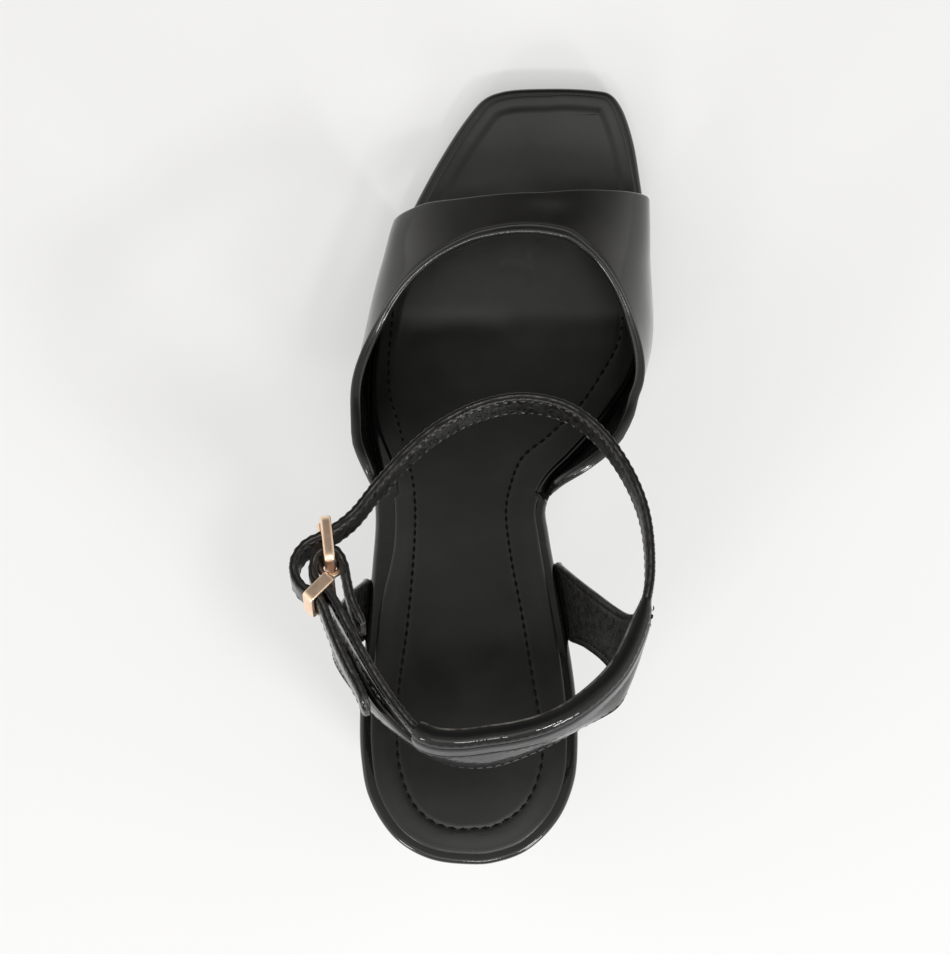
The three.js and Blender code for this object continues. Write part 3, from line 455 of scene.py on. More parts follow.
def arc(radius, steps):
    """Quarter round at a sole layer's edge, as pairs of inset and depth."""
    angles = np.linspace(0, np.pi / 2, steps + 1)
    return [(radius * (1 - math.sin(a)), radius * (1 - math.cos(a))) for a in angles]


# Materials


def material(
    name, color, rough, metal=0.0, coat=0.0, coat_rough=0.04, coat_ior=1.5, specular=0.5,
    bumps=(), rough_spread=0.0, rough_scale=300, tones=(), tone_scale=60, tone_detail=4,
    glow=0.0,
):
    """Principled material. bumps are (noise or cells, scale, depth in metres, strength)."""
    mat = bpy.data.materials.new(name)
    mat.use_nodes = True
    nodes, links = mat.node_tree.nodes, mat.node_tree.links
    nodes.clear()

    def add(kind, **values):
        node = nodes.new("ShaderNode" + kind)
        for socket, value in values.items():
            node.inputs[socket.replace("_", " ")].default_value = value
        return node

    def noise(scale, detail):
        node = add("TexNoise", Scale=scale, Detail=detail)
        links.new(coords.outputs["Object"], node.inputs["Vector"])
        return node.outputs["Fac"]

    out, shader, coords = add("OutputMaterial"), add("BsdfPrincipled"), add("TexCoord")
    links.new(shader.outputs[0], out.inputs[0])
    shader.inputs["Base Color"].default_value = (*color, 1)
    shader.inputs["Roughness"].default_value = rough
    shader.inputs["Metallic"].default_value = metal
    shader.inputs["Coat Weight"].default_value = coat
    shader.inputs["Coat Roughness"].default_value = coat_rough
    shader.inputs["Coat IOR"].default_value = coat_ior
    shader.inputs["Specular IOR Level"].default_value = specular
    shader.inputs["Emission Color"].default_value = (1, 1, 1, 1)
    shader.inputs["Emission Strength"].default_value = glow

    ramp = add("ValToRGB")
    for stop, place, tone in zip(ramp.color_ramp.elements, (0.36, 0.66), tones):
        stop.position = place
        stop.color = (*tone, 1)
    links.new(noise(tone_scale, tone_detail), ramp.inputs["Fac"])
    links.new(ramp.outputs["Color"], shader.inputs["Base Color"])
    if rough_spread:
        smoothest, roughest = max(rough - rough_spread, 0.01), rough + rough_spread
        spread = add("MapRange", From_Min=0.3, From_Max=0.7, To_Min=smoothest, To_Max=roughest)
        links.new(noise(rough_scale, 5), spread.inputs["Value"])
        links.new(spread.outputs["Result"], shader.inputs["Roughness"])
    normal = None
    for pattern, scale, depth, strength in bumps:
        if pattern == "noise":
            height = noise(scale, 2)
        else:
            cells = add("TexVoronoi", Scale=scale)
            cells.feature = "SMOOTH_F1"
            links.new(coords.outputs["Object"], cells.inputs["Vector"])
            height = cells.outputs["Distance"]
        bump = add("Bump", Distance=depth, Strength=strength)
        links.new(height, bump.inputs["Height"])
        if normal:
            links.new(normal, bump.inputs["Normal"])
        normal = bump.outputs["Normal"]
    if normal:
        links.new(normal, shader.inputs["Normal"])
        if coat:
            links.new(normal, shader.inputs["Coat Normal"])
    return mat


PATENT = material(
    "patent leather", (0.006, 0.006, 0.006), 0.2, specular=0.03, coat=0.34, coat_rough=0.03,
    coat_ior=1.9, bumps=[("noise", 150, 0.0006, 0.35), ("noise", 700, 0.00008, 0.4)],
    rough_spread=0.05, tones=((0.006, 0.006, 0.006), (0.011, 0.011, 0.0115)),
)
LINING = material(
    "strap lining", (0.01, 0.01, 0.01), 0.34,
    bumps=[("cells", 1500, 0.0002, 0.5), ("noise", 420, 0.0003, 0.4)], rough_spread=0.12,
    tones=((0.001, 0.001, 0.001), (0.022, 0.021, 0.02)), tone_scale=800, tone_detail=8,
)
RAW_EDGE = material(
    "raw leather edge", (0.09, 0.085, 0.08), 0.5, specular=0.2,
    bumps=[("noise", 1800, 0.0002, 0.6)], tones=((0.015, 0.014, 0.013), (0.16, 0.15, 0.14)),
    tone_scale=260,
)
VAMP_LEATHER = material(
    "polished leather", (0.008, 0.008, 0.0076), 0.19, coat=0.35, coat_rough=0.08,
    bumps=[("noise", 42, 0.0009, 0.25), ("cells", 2200, 0.00004, 0.35)], rough_spread=0.05,
    rough_scale=120, tones=((0.005, 0.005, 0.0047), (0.011, 0.0107, 0.01)),
)
VAMP_LINING = material(
    "vamp lining", (0.003, 0.003, 0.003), 0.28, specular=0.3, coat=0.2, coat_rough=0.15,
    bumps=[("noise", 160, 0.0005, 0.3), ("cells", 1800, 0.0001, 0.4)], rough_spread=0.08,
    tones=((0.003, 0.003, 0.003), (0.012, 0.012, 0.0115)),
)
SOCK = material(
    "padded sock", (0.011, 0.011, 0.011), 0.36,
    bumps=[("noise", 60, 0.0004, 0.2), ("cells", 2600, 0.00004, 0.35)], rough_spread=0.08,
    rough_scale=90, tones=((0.008, 0.008, 0.0078), (0.0145, 0.0145, 0.014)), tone_scale=34,
    tone_detail=6,
)
RIM = material(
    "wrapped rim", (0.005, 0.005, 0.005), 0.22, specular=0.25, coat=0.8, coat_rough=0.05,
    bumps=[("noise", 160, 0.0003, 0.3), ("noise", 900, 0.00005, 0.4)], rough_spread=0.06,
    tones=((0.003, 0.003, 0.003), (0.007, 0.007, 0.007)),
)
RUBBER = material(
    "sole rubber", (0.006, 0.006, 0.006), 0.55, bumps=[("cells", 1400, 0.00015, 0.5)],
    rough_spread=0.12, tones=((0.003, 0.003, 0.003), (0.01, 0.01, 0.01)), tone_scale=200,
)
METAL = material(
    "rose gold", (0.98, 0.71, 0.52), 0.38, metal=1, bumps=[("noise", 1500, 0.00003, 0.4)],
    rough_spread=0.06, rough_scale=900, tones=((0.95, 0.67, 0.48), (1, 0.78, 0.6)),
    tone_scale=250,
)
THREAD = material(
    "dark thread", (0.002, 0.002, 0.002), 0.6, specular=0.1, bumps=[("noise", 4000, 0.0001, 0.6)],
    rough_spread=0.1, tones=((0.001, 0.001, 0.001), (0.004, 0.004, 0.004)), tone_scale=900,
)
PALE_THREAD = material(
    "waxed thread", (0.12, 0.12, 0.12), 0.3, bumps=[("noise", 4000, 0.0001, 0.6)],
    rough_spread=0.1, tones=((0.03, 0.03, 0.03), (0.22, 0.22, 0.215)), tone_scale=400,
)


# Sole layers


def layer(name, inset, profile, mats, node, top=None, cols=14):
    loops = [sole_loop(lambda y, s, e=more: inset(y, s) + e, depth) for more, depth in profile]
    piece = shell(name, loops, (2, cols), (None, top), slots=mats)
    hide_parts(node)
    return piece


def outsole_inset(y, side):
    return -(SLING_WALL + GAP) * within(y, SLING_ZONES[side])


edge_round = arc(0.7, 4)
layer(
    "sole",
    outsole_inset,
    [(3, OUTSOLE_BOTTOM)]
    + [(a, OUTSOLE_BOTTOM - b) for a, b in edge_round]
    + [(a, OUTSOLE_TOP + b) for a, b in edge_round[::-1]],
    [RUBBER],
    "outsole",
    cols=4,
)


def board_inset(y, side):
    return (VAMP_WALL + 2 * GAP) * within(y, VAMP_ZONES[side])


layer(
    "wrapped_board",
    board_inset,
    [(0.3 + a, BOARD_BOTTOM - b) for a, b in arc(0.3, 2)]
    + [(0.05, BOARD_BOTTOM - 0.5), (0, BOARD_BOTTOM - 1)]
    + [(a, b) for a, b in arc(1.5, 8)[::-1]]
    + [(2.4, -0.02), (3.4, 0)],
    [RIM],
    "insole_board",
    cols=4,
)
sock_rims = dict(zip(("outer", "inner"), columns(SOCK_RIM)))
SOCK_TOP = GAP + SOCK_THICKNESS
PAD_RISE = 0.45
PAD_BORDER = 5.4  # width of the slope from the sock's edge to its padded middle
TOE_STEP = (3, 2.2)  # start and width of the steeper slope round the toe pad
TOE_PAD = (0.62, 0.2)  # where along the sole it begins, and over what share
EDGE_ROUND = (0.5, 0.8)  # height and width of the round at the sock's edge


def sock_inset(y, side):
    rim = SOCK_MARGIN * sock_rims[side](y / LENGTH)
    return rim + 0.6 * VAMP_WALL * within(y, VAMP_ZONES[side])


def trough(x, y, line, depth, width):
    """Soft trough along a line of points, for a seam or a crease."""
    points = np.column_stack([np.ravel(x), np.ravel(y)])
    line = np.asarray(line)
    near = np.full(len(points), np.inf)
    for a, b in zip(line[:-1], line[1:]):
        ab = b - a
        share = np.clip(((points - a) @ ab) / max(ab @ ab, 1e-9), 0, 1)[:, None]
        near = np.minimum(near, ((points - a - share * ab) ** 2).sum(1))
    return (depth * np.exp(-near / width**2)).reshape(np.shape(x))


def sole_line(points, count):
    """Smooth line over the sole in plan, from points in shares of its sizes."""
    plan = [(across * BALL_WIDTH, along * LENGTH) for across, along in points]
    return smooth_curve(plan)(np.linspace(0, 1, count))


SOCK_TROUGHS = [(sole_line(STITCH_OUTER, 140), *SOCK_SEAM)]
SOCK_TROUGHS += [(sole_line(points, 9), depth, width) for points, depth, width in CREASES]


def sock_surface(x, y):
    z = sole_height(y, -(SOCK_TOP + PAD_RISE))
    for line, depth, width in SOCK_TROUGHS:
        z = z - trough(x, y, line, depth, width)
    return z


def pad_depth(inset):
    """Depth of the sock's top at a distance from its edge, with a step before its toe pad."""
    tall, wide = EDGE_ROUND
    edge_rise = float(quarter_round(inset / wide, 1))
    slow = float(smoothstep(inset / PAD_BORDER))
    step = float(smoothstep((inset - TOE_STEP[0]) / TOE_STEP[1]))

    def depth(y):
        rise = PAD_RISE * lerp(slow, step, smoothstep((y / LENGTH - TOE_PAD[0]) / TOE_PAD[1]))
        return -(SOCK_TOP - tall + tall * edge_rise + rise)

    return depth


PAD_STOPS = (0.08, 0.2, 0.4, 0.8, 1.5, 2.2, 2.7, 3.1, 3.5, 3.9, 4.3, 4.7, 5, 5.4)
sock = layer(
    "padded_sock",
    sock_inset,
    [(0.1, -GAP), (0.03, -GAP - 0.3), (0, -GAP - 0.6), (0.03, -SOCK_TOP + 0.4)]
    + [(inset, pad_depth(inset)) for inset in PAD_STOPS],
    [SOCK],
    "sock_lining",
    sock_surface,
    cols=120,
)


# Heel

HEEL_POINTS = 128


def heel_loop(back, front, side, height_at):
    y0 = lerp(REAR_END + SEAT_INSET, TOP_PIECE[3], back)
    y1 = lerp(SEAT_LENGTH, TOP_PIECE[3] + TOP_PIECE[1], front)
    half = lerp(SEAT_HALF, TOP_PIECE[0] / 2, side)
    widest = lerp(y0 + SEAT_HALF, (y0 + y1) / 2, back)
    square = lerp(0.35, 0.55, front)
    rounded = lerp(1, 0.55, back)
    angle = -np.pi / 2 - (np.arange(HEEL_POINTS) + 0.5) / HEEL_POINTS * 2 * np.pi
    s, c = np.sin(angle), np.cos(angle)
    power = np.where(s > 0, square, rounded)
    reach = np.where(s > 0, y1 - widest, widest - y0)
    x = SEAT_MIDDLE + half * np.sign(c) * np.abs(c) ** power
    y = widest + reach * np.sign(s) * np.abs(s) ** power
    return np.stack([x, y, height_at(y)], 1)


heel_curves = columns(HEEL_SECTIONS)
heel_loops = []
for drop in np.linspace(0, 1, 49) ** 1.1:
    drawn_in = [float(at(drop)) for at in heel_curves]

    def heel_height(y, drop=drop):
        return lerp(sole_height(y, OUTSOLE_BOTTOM + GAP), TOP_PIECE[2] + GAP, drop)

    heel_loops.append(heel_loop(*drawn_in, heel_height))
heel = shell("covered_heel", heel_loops, (4, 4), slots=[PATENT])
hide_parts("heel_block")
lift = shell(
    "heel_lift",
    [
        heel_loop(1, 1, side, lambda y, z=z: np.full_like(y, z))
        for side, z in ((1.02, 0), (1, 0.25), (1, TOP_PIECE[2] - 0.3), (1.02, TOP_PIECE[2]))
    ],
    (4, 4),
    slots=[RUBBER],
)
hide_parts("heel_top_piece")


# Vamp

crown_at, outer_swell, inner_swell = columns(LAST_SECTIONS)
front_at, rear_at = columns(VAMP_ROWS)


def vamp_base(y):
    return sole_height(y, OUTSOLE_TOP - GAP)


def last_point(y, across):
    y, across = np.broadcast_arrays(np.asarray(y, float), np.asarray(across, float))
    ends = []
    for side in ("outer", "inner"):
        x, ox, _ = edge(side, y)
        ends.append(x - VAMP_WALL / ox)
    angle = (1 - np.abs(across)) * (np.pi / 2)
    spread = np.maximum(np.cos(angle), 0) ** LAST_ROUNDNESS
    height = np.maximum(np.sin(angle), 0) ** LAST_ROUNDNESS
    swell = np.sin(angle) * np.cos(angle) ** 2 / math.sqrt(4 / 27)
    share = np.where(across < 0, outer_swell(y / LENGTH), inner_swell(y / LENGTH))
    reach = (ends[1] - ends[0]) / 2 * spread + share * BALL_WIDTH * swell
    x = (ends[0] + ends[1]) / 2 + np.sign(across) * reach
    return np.stack([x, y, vamp_base(y) + crown_at(y / LENGTH) * INSTEP_HEIGHT * height], -1)


def vamp_point(across, t):
    return last_point(lerp(front_at(across), rear_at(across), t) * LENGTH, across)


def vamp_dents(points):
    """Depth of the soft hollows in the vamp's top at each point."""
    depth = np.zeros(len(points))
    across, along = points[:, 0] / BALL_WIDTH, points[:, 1] / LENGTH
    for x, y, wide, long, sunk in VAMP_DENTS:
        far = ((across - x) / wide) ** 2 + ((along - y) / long) ** 2
        depth += sunk * np.exp(-far)
    return depth


def vamp_normal(across, t):
    low_side = np.clip(across, -0.99, 0.99)
    middle = np.clip(t, 0.01, 0.99)
    sideways = vamp_point(low_side + 0.01, middle) - vamp_point(low_side - 0.01, middle)
    backwards = vamp_point(low_side, middle + 0.01) - vamp_point(low_side, middle - 0.01)
    return unit(np.cross(backwards, sideways))


# Places of the mesh's points in from the vamp's rear and front edges, and their count between
REAR_STOPS = [0, 0.08, 0.25, 0.5, 0.8, 1.15, 1.5, 1.9, 2.3, 2.7, 3, 3.3, 3.7, 4.3, 5.2, 6.4]
FRONT_STOPS = [1.6, 1.1, 0.75, 0.45, 0.2, 0.06, 0]
MIDDLE_STOPS = 22


def vamp_half(to_rear, to_front):
    """Half the wall's thickness, at distances from its rear and front edges."""
    bead, bead_ramp = 1.5, 1.8
    groove_at, groove_deep, groove_wide = 3, 0.28, 0.35
    groove = groove_deep * np.exp(-(((to_rear - groove_at) / groove_wide) ** 2))
    wall = lerp(bead, VAMP_WALL / 2, smoothstep((to_rear - bead) / bead_ramp)) - groove
    rear = np.where(to_rear < bead, quarter_round(to_rear, bead), wall)
    fold = 0.85
    return rear * (quarter_round(to_front, fold) / fold)


def vamp():
    """The vamp's wall, loop by loop across the foot."""
    loops = []
    for across in np.linspace(-1, 1, 181):
        t = np.linspace(0, 1, 240)
        line = vamp_point(np.full_like(t, across), t)
        run = run_along(line)
        total = run[-1]
        share = min(1, (total - 3) / (REAR_STOPS[-1] + FRONT_STOPS[0]))
        rear, front = np.array(REAR_STOPS) * share, np.array(FRONT_STOPS) * share
        between = np.linspace(rear[-1], total - front[0], MIDDLE_STOPS)[1:-1]
        to_rear = np.concatenate([rear, between, total - front])
        to_front = total - to_rear
        stops = np.interp(total - to_rear, run, t)
        points = vamp_point(np.full_like(stops, across), stops)
        if abs(across) == 1:
            x, ox, oy = edge("outer" if across < 0 else "inner", points[:, 1])
            normals = np.stack([ox, oy, np.zeros_like(ox)], 1)
            half = np.full_like(to_rear, VAMP_WALL / 2)
        else:
            normals = vamp_normal(np.full_like(stops, across), stops)
            half = vamp_half(to_rear, to_front)
        middle = np.full_like(to_rear, VAMP_WALL / 2) + 0.25 * smoothstep((4 - to_rear) / 4)
        middle = middle - vamp_dents(points)
        outer = points + normals * (middle + half)[:, None]
        inner = points + normals * (middle - half)[:, None]
        if abs(across) == 1:
            outer[:, 2] = vamp_base(outer[:, 1])
        loops.append(np.vstack([outer, inner[::-1]]))
    n, roll = len(loops[0]), REAR_STOPS.index(3)
    parts = [0 if i < n // 2 or i >= n - roll else 1 for i in range(n)]
    piece = loops_mesh("vamp_band", loops, parts, 0, [VAMP_LEATHER, VAMP_LINING], sharp=50)
    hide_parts("vamp")


vamp()


# Strap


def ring_point(x, along, up):
    x, along, up = np.broadcast_arrays(*(np.asarray(v, float) for v in (x, along, up)))
    c, s = math.cos(ANKLE_LEAN), math.sin(ANKLE_LEAN)
    y = ANKLE_BACK + along * c + up * s
    return np.stack([x, y, HEEL_RISE + ANKLE_HEIGHT - along * s + up * c], -1)


buckle_place = (BUCKLE_REAR[0] * ANKLE_WIDTH, BUCKLE_REAR[1] * ANKLE_DEPTH)


def near_buckle(beside, ahead):
    return (buckle_place[0] + beside * BUCKLE_LENGTH, buckle_place[1] + ahead * BUCKLE_LENGTH)


route = (
    [near_buckle(*row) for row in ROUTE_START]
    + [(a * ANKLE_WIDTH, b * ANKLE_DEPTH) for a, b in ROUTE_RING]
    + [near_buckle(*row) for row in ROUTE_TAIL]
)
strap_curve = smooth_curve(route)
MOUTHS = (INNER_MOUTH / (len(route) - 1), OUTER_MOUTH / (len(route) - 1))


def even(start, end, spacing):
    """Parts of the strap's route at an even spacing in millimetres."""
    t = np.linspace(start, end, 4000)
    line = strap_curve(t)
    run = run_along(line)
    count = max(int(run[-1] / spacing), 2)
    return np.interp(np.linspace(0, run[-1], count + 1), run, t)


def beside_strap(t, out, up):
    """Point beside the strap's middle line: out is away from the ankle on the main ring."""
    t = np.atleast_1d(t)
    middle = strap_curve(t)
    ahead = unit(strap_curve(np.minimum(t + 1e-4, 1)) - strap_curve(np.maximum(t - 1e-4, 0)))
    return ring_point(middle[:, 0] + ahead[:, 1] * out, middle[:, 1] - ahead[:, 0] * out, up)


def sweep(t, section, scales):
    """Loops of a section of (out, up) pairs along the strap's route, puffed between stitches."""
    wave = PUFF * np.cos(2 * np.pi * run_along(strap_curve(t)) / STITCH_PITCH)
    puffed_at, puffed_wide = 4.8, 0.7
    loops = []
    for out, up in section:
        near_edge = math.exp(-(((abs(up) - puffed_at) / puffed_wide) ** 2))
        outs = out * scales[:, 0] + np.sign(out) * wave * near_edge
        ups = up * scales[:, 1] + np.sign(up) * 0.5 * wave * near_edge
        loops.append(beside_strap(t, outs, ups))
    return list(np.stack(loops, 1))


# Half of the strap's section from its outer face's middle over the top edge: out, up, finish
STRAP_HALF = [
    (1.3, 0, 0), (1.3, 1.6, 0), (1.26, 3.2, 0), (1.2, 3.9, 0), (1.06, 4.25, 0), (1.2, 4.6, 0),
    (1.18, 5, 0), (1.05, 5.32, 0), (0.8, 5.48, 0), (0.45, 5.5, 0), (0.2, 5.4, 1), (0.1, 5.26, 1),
    (-0.12, 5.26, 2), (-0.25, 5.42, 2), (-0.6, 5.5, 2), (-0.95, 5.4, 2), (-1.15, 5.1, 2),
    (-1.2, 4.6, 2), (-1.08, 4.25, 2), (-1.2, 3.9, 2), (-1.22, 3.2, 2), (-1.22, 1.6, 2),
]


def mirrored(half):
    """Whole section from its upper half, with the finish of each side between two points."""
    lower = [(out, -up, part) for out, up, part in half[:0:-1]]
    points = half + [(half[-1][0], 0, half[-1][2])] + lower
    parts = [p[2] for p in half] + [half[-1][2]]
    parts += [half[i - 1][2] for i in range(len(half) - 1, 0, -1)]
    return [(a, b) for a, b, _ in points], parts


def ease_ends(scale, thick, wide):
    """Draw a sweep's end sections in. wide is the last one's width and its growth inwards."""
    for i, share in enumerate(thick):
        scale[i] *= (share, 0.97 + 0.01 * i)
        scale[-1 - i] *= (share, wide[0] + wide[1] * i)


def strap():
    """The strap with its lining, its tail's tip rounded and both ends eased in."""
    t = even(0, 1, 0.5)
    section, parts = mirrored(STRAP_HALF)
    tip = np.sqrt(1 - (0.9 * np.maximum(1 - (1 - t) / 0.02, 0)) ** 2)
    scale = np.stack([np.ones_like(t), tip], 1)
    ease_ends(scale, (0.55, 0.8, 0.93), (0.95, 0.02))
    loops = sweep(t, section, scale)
    return loops_mesh("ankle_band", loops, parts, 1, [PATENT, RAW_EDGE, LINING], sharp=45)


# The same for the sling's fold
FOLD_HALF = [
    (2.55, 0, 0), (2.62, 1.3, 0), (2.56, 2.5, 0), (2.38, 3.2, 0), (2.2, 3.5, 0), (2.3, 3.8, 0),
    (2.34, 4.2, 0), (2.28, 4.75, 0), (2.1, 5.3, 0), (1.82, 5.8, 0), (1.42, 6.22, 0),
    (0.95, 6.5, 0), (0.4, 6.67, 0), (-0.2, 6.7, 0), (-0.9, 6.63, 0), (-1.5, 6.45, 0),
    (-1.75, 6.3, 1), (-1.95, 6.3, 1), (-2.15, 6.4, 2), (-2.38, 6.1, 2), (-2.4, 5.2, 2),
    (-2.28, 4.9, 2), (-2.4, 4.6, 2), (-2.42, 2.4, 2),
]


def sling_fold():
    """The sling's fold round the strap, which swells from its inner mouth."""
    t = even(min(MOUTHS), max(MOUTHS), 0.7)
    section, parts = mirrored(FOLD_HALF)
    tight, swollen_in = 0.24, 0.16
    swell = smoothstep((max(MOUTHS) - t) / (swollen_in * (MOUTHS[0] - MOUTHS[1])))
    grown = tight + (1 - tight) * swell
    thick = (STRAP_THICKNESS + 2 * TUNNEL_WALL * grown) / (STRAP_THICKNESS + 2 * TUNNEL_WALL)
    wide = (STRAP_WIDTH + 2 * TUNNEL_WALL * grown) / (STRAP_WIDTH + 2 * TUNNEL_WALL)
    scale = np.stack([thick * 1.06, wide], 1)
    ease_ends(scale, (0.8, 0.92, 0.98), (0.97, 0.01))
    loops = sweep(t, section, scale)
    return loops_mesh("sling_fold", loops, parts, 1, [PATENT, RAW_EDGE, LINING], sharp=45)


def ring_top(y):
    up = STRAP_WIDTH / 2
    along = (y - ANKLE_BACK - up * math.sin(ANKLE_LEAN)) / math.cos(ANKLE_LEAN)
    return ring_point(0, along, up)[..., 2]


def seated(side, share, depth):
    y = share * LENGTH
    x, ox, _ = edge(side, y)
    return (float(x + ox * GAP), y, float(sole_height(y, depth)))


def sling_edges():
    low_edge, high_edge = [], []
    for side, lower, upper in SLING_SECTIONS:
        for points, place in ((low_edge, lower), (high_edge, upper)):
            if not isinstance(place, tuple):
                out = STRAP_THICKNESS / 2 + TUNNEL_WALL - SLING_WALL - GAP / 2
                t = lerp(MOUTHS[0], MOUTHS[1], place)
                points.append(tuple(beside_strap(t, out, -1.5)[0]))
            elif place[2] == 0:
                points.append(seated(side, place[1], 0))
            else:
                y = place[1] * LENGTH
                z = lerp(float(board_top(y)), float(ring_top(y)), place[2])
                points.append((place[0] * ANKLE_WIDTH, y, z))
    ends = ((0, "inner", 0), (len(low_edge) + 1, "outer", len(SLING_SECTIONS) - 1))
    for at, side, row in ends:
        for points, column_at in ((low_edge, 1), (high_edge, 2)):
            share = SLING_SECTIONS[row][column_at][1]
            points.insert(at, seated(side, share, OUTSOLE_TOP - GAP))
    return smooth_curve(low_edge), smooth_curve(high_edge)


low_curve, high_curve = sling_edges()


def sling_face(u, v):
    u = np.atleast_1d(u)
    return low_curve(u) * (1 - v) + high_curve(u) * v


def sling_frame(u):
    along = sling_face(np.minimum(u + 0.004, 1), 0.5) - sling_face(np.maximum(u - 0.004, 0), 0.5)
    across = sling_face(u, 1) - sling_face(u, 0)
    return unit(np.cross(across, along)), np.linalg.norm(across, axis=1)


def sling_sheet():
    """The sling's sheet, whose points lie closest near its edges and stitching."""
    u = np.linspace(0, 1, 17 * 18 + 1)
    outwards, width = sling_frame(u)
    edge_stops = [0, 0.12, 0.4, 0.8, 1.3, 1.7, 2, 2.3, 2.8, 3.6]
    stops = [("low", d) for d in edge_stops]
    stops += [("share", s) for s in (0.3, 0.4, 0.5, 0.6, 0.7)]
    stops += [("high", d) for d in edge_stops[::-1]]

    def thickness(d):
        edge_wide, groove_deep, groove_wide = 0.7, 0.16, 0.3
        stitched = groove_deep * np.exp(-(((d - SLING_SEAM) / groove_wide) ** 2))
        return quarter_round(d / edge_wide, 1) * (1 - stitched)

    outer, inner = [], []
    for kind, value in stops:
        if kind == "low":
            v, d = value / width, value
        elif kind == "high":
            v, d = 1 - value / width, value
        else:
            v, d = np.full_like(u, value), 9
        half = SLING_WALL / 2 * thickness(np.asarray(d, float))
        v = v[:, None]
        bow = SLING_BOW * np.sin(np.pi * np.clip(v, 0, 1))
        middle = sling_face(u, v) + outwards * (SLING_WALL / 2 + bow)
        outer.append(middle + outwards * half)
        inner.append(middle - outwards * half)
    loops = list(np.stack(outer + inner[::-1], 1))
    count = len(stops)
    parts = [0] * count + [2] * count
    for i in (2 * count - 2, 2 * count - 3, count, count - 1, 2 * count - 1):
        parts[i] = 1
    return loops_mesh("sling_sheet", loops, parts, 1, [PATENT, RAW_EDGE, LINING], sharp=50)


for part in (strap(), sling_fold(), sling_sheet()):
    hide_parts("ankle_strap")


# Buckle and keeper


def ring_axes(x, y, turn):
    """A place in the ring's plane, with axes along a direction, up the strap and out of it."""
    place = ring_point(x, y, 0)
    along = ring_point(x + math.cos(turn), y + math.sin(turn), 0) - place
    up = ring_point(x, y, 1) - place
    return place, along, up, np.cross(along, up)


def rounded_path(width, height, radius, arc_steps=7, side_steps=5):
    """Points and outward directions round a rectangle with round corners."""
    corners = []
    for cx, cy, start in ((1, -1, -90), (1, 1, 0), (-1, 1, 90), (-1, -1, 180)):
        middle = np.array((cx * (width / 2 - radius), cy * (height / 2 - radius)))
        for i in range(arc_steps + 1):
            a = math.radians(start + 90 * i / arc_steps)
            out = np.array((math.cos(a), math.sin(a)))
            corners.append((middle + radius * out, out))
    path = []
    for i, (point, out) in enumerate(corners):
        after = corners[(i + 1) % len(corners)][0]
        steps = side_steps if i % (arc_steps + 1) == arc_steps else 1
        path += [(lerp(point, after, k / steps), out) for k in range(steps)]
    return path


def band_ring(name, axes, width, height, wall, depth, radius, corner, shift=0.0):
    """Closed metal ring round a rectangle with the given radius, its bar's corners rounded."""
    place, along, up, out = axes
    path = rounded_path(width - wall, height - wall, radius)
    bar = rounded_path(wall, depth, corner, arc_steps=4, side_steps=1)
    verts = []
    for (px, py), (nx, ny) in path:
        for (a, b), _ in bar:
            x, y = px + nx * a + shift, py + ny * a
            verts.append(place + along * x + up * y + out * b)
    n = len(bar)
    faces = grid_faces(len(path), n, True)
    last = (len(path) - 1) * n
    faces += [(last + i, last + (i + 1) % n, (i + 1) % n, i) for i in range(n)]
    return make(name, verts, faces, slots=[METAL], sharp=60)


buckle_axes = ring_axes(*buckle_place, BUCKLE_TURN)
opening = STRAP_WIDTH + 2 * BUCKLE_CLEARANCE
buckle = band_ring(
    "buckle",
    buckle_axes,
    BUCKLE_LENGTH,
    opening + 2 * BUCKLE_BAR,
    BUCKLE_BAR,
    BUCKLE_THICKNESS,
    radius=1.3,
    corner=0.75,
    shift=(BUCKLE_LENGTH - BUCKLE_BAR) / 2,
)
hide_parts("buckle_frame")
keeper_in = (2 * STRAP_THICKNESS + 3 * KEEPER_CLEARANCE, STRAP_WIDTH + 2 * KEEPER_CLEARANCE)
keeper = band_ring(
    "keeper",
    ring_axes(*near_buckle(*KEEPER_PLACE), KEEPER_TURN),
    keeper_in[0] + 2 * KEEPER_WALL,
    keeper_in[1] + 2 * KEEPER_WALL,
    KEEPER_WALL,
    KEEPER_BAND,
    radius=0.75,
    corner=0.42,
)
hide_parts("strap_keeper")


def prong():
    rear, along, up, out = buckle_axes
    front = rear + along * (BUCKLE_LENGTH - BUCKLE_BAR)
    clear = PRONG_RADIUS + GAP
    hook = BUCKLE_THICKNESS / 2 + clear
    behind = BUCKLE_BAR / 2 + clear
    bar = BUCKLE_BAR
    points = [
        rear + along * 0.2 * bar + out * 1.08 * hook,
        rear - along * 0.75 * behind + out * 0.8 * hook,
        rear - along * 1.07 * behind,
        rear - along * 0.75 * behind - out * 0.8 * hook,
        rear + along * 0.2 * bar - out * 1.08 * hook,
        rear + along * 1.35 * bar - out * 1.04 * hook,
        front - along * 1.1 * bar + out * (PRONG_SUNK - 1.04 * hook),
        front + out * (PRONG_SUNK - hook),
        front + along * 0.7 * bar + out * (PRONG_SUNK - hook),
    ]
    line = smooth_curve(points)(np.linspace(0, 1, 70))
    radius = np.full(70, PRONG_RADIUS)
    radius[-5:] *= (0.98, 0.93, 0.85, 0.7, 0.4)
    radius[:3] *= (0.5, 0.8, 0.95)
    ahead = unit(np.gradient(line, axis=0))
    side = unit(np.cross(ahead, up))
    other = unit(np.cross(side, ahead))
    a = ((np.arange(16) + 0.5) / 16 * 2 * np.pi)[:, None]
    rings = zip(line, side, other, radius)
    loops = [p + (np.cos(a) * q + np.sin(a) * r) * size for p, q, r, size in rings]
    piece = shell("prong", loops, slots=[METAL], sharp=60)
    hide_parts("buckle_prong")


prong()


# Stitching


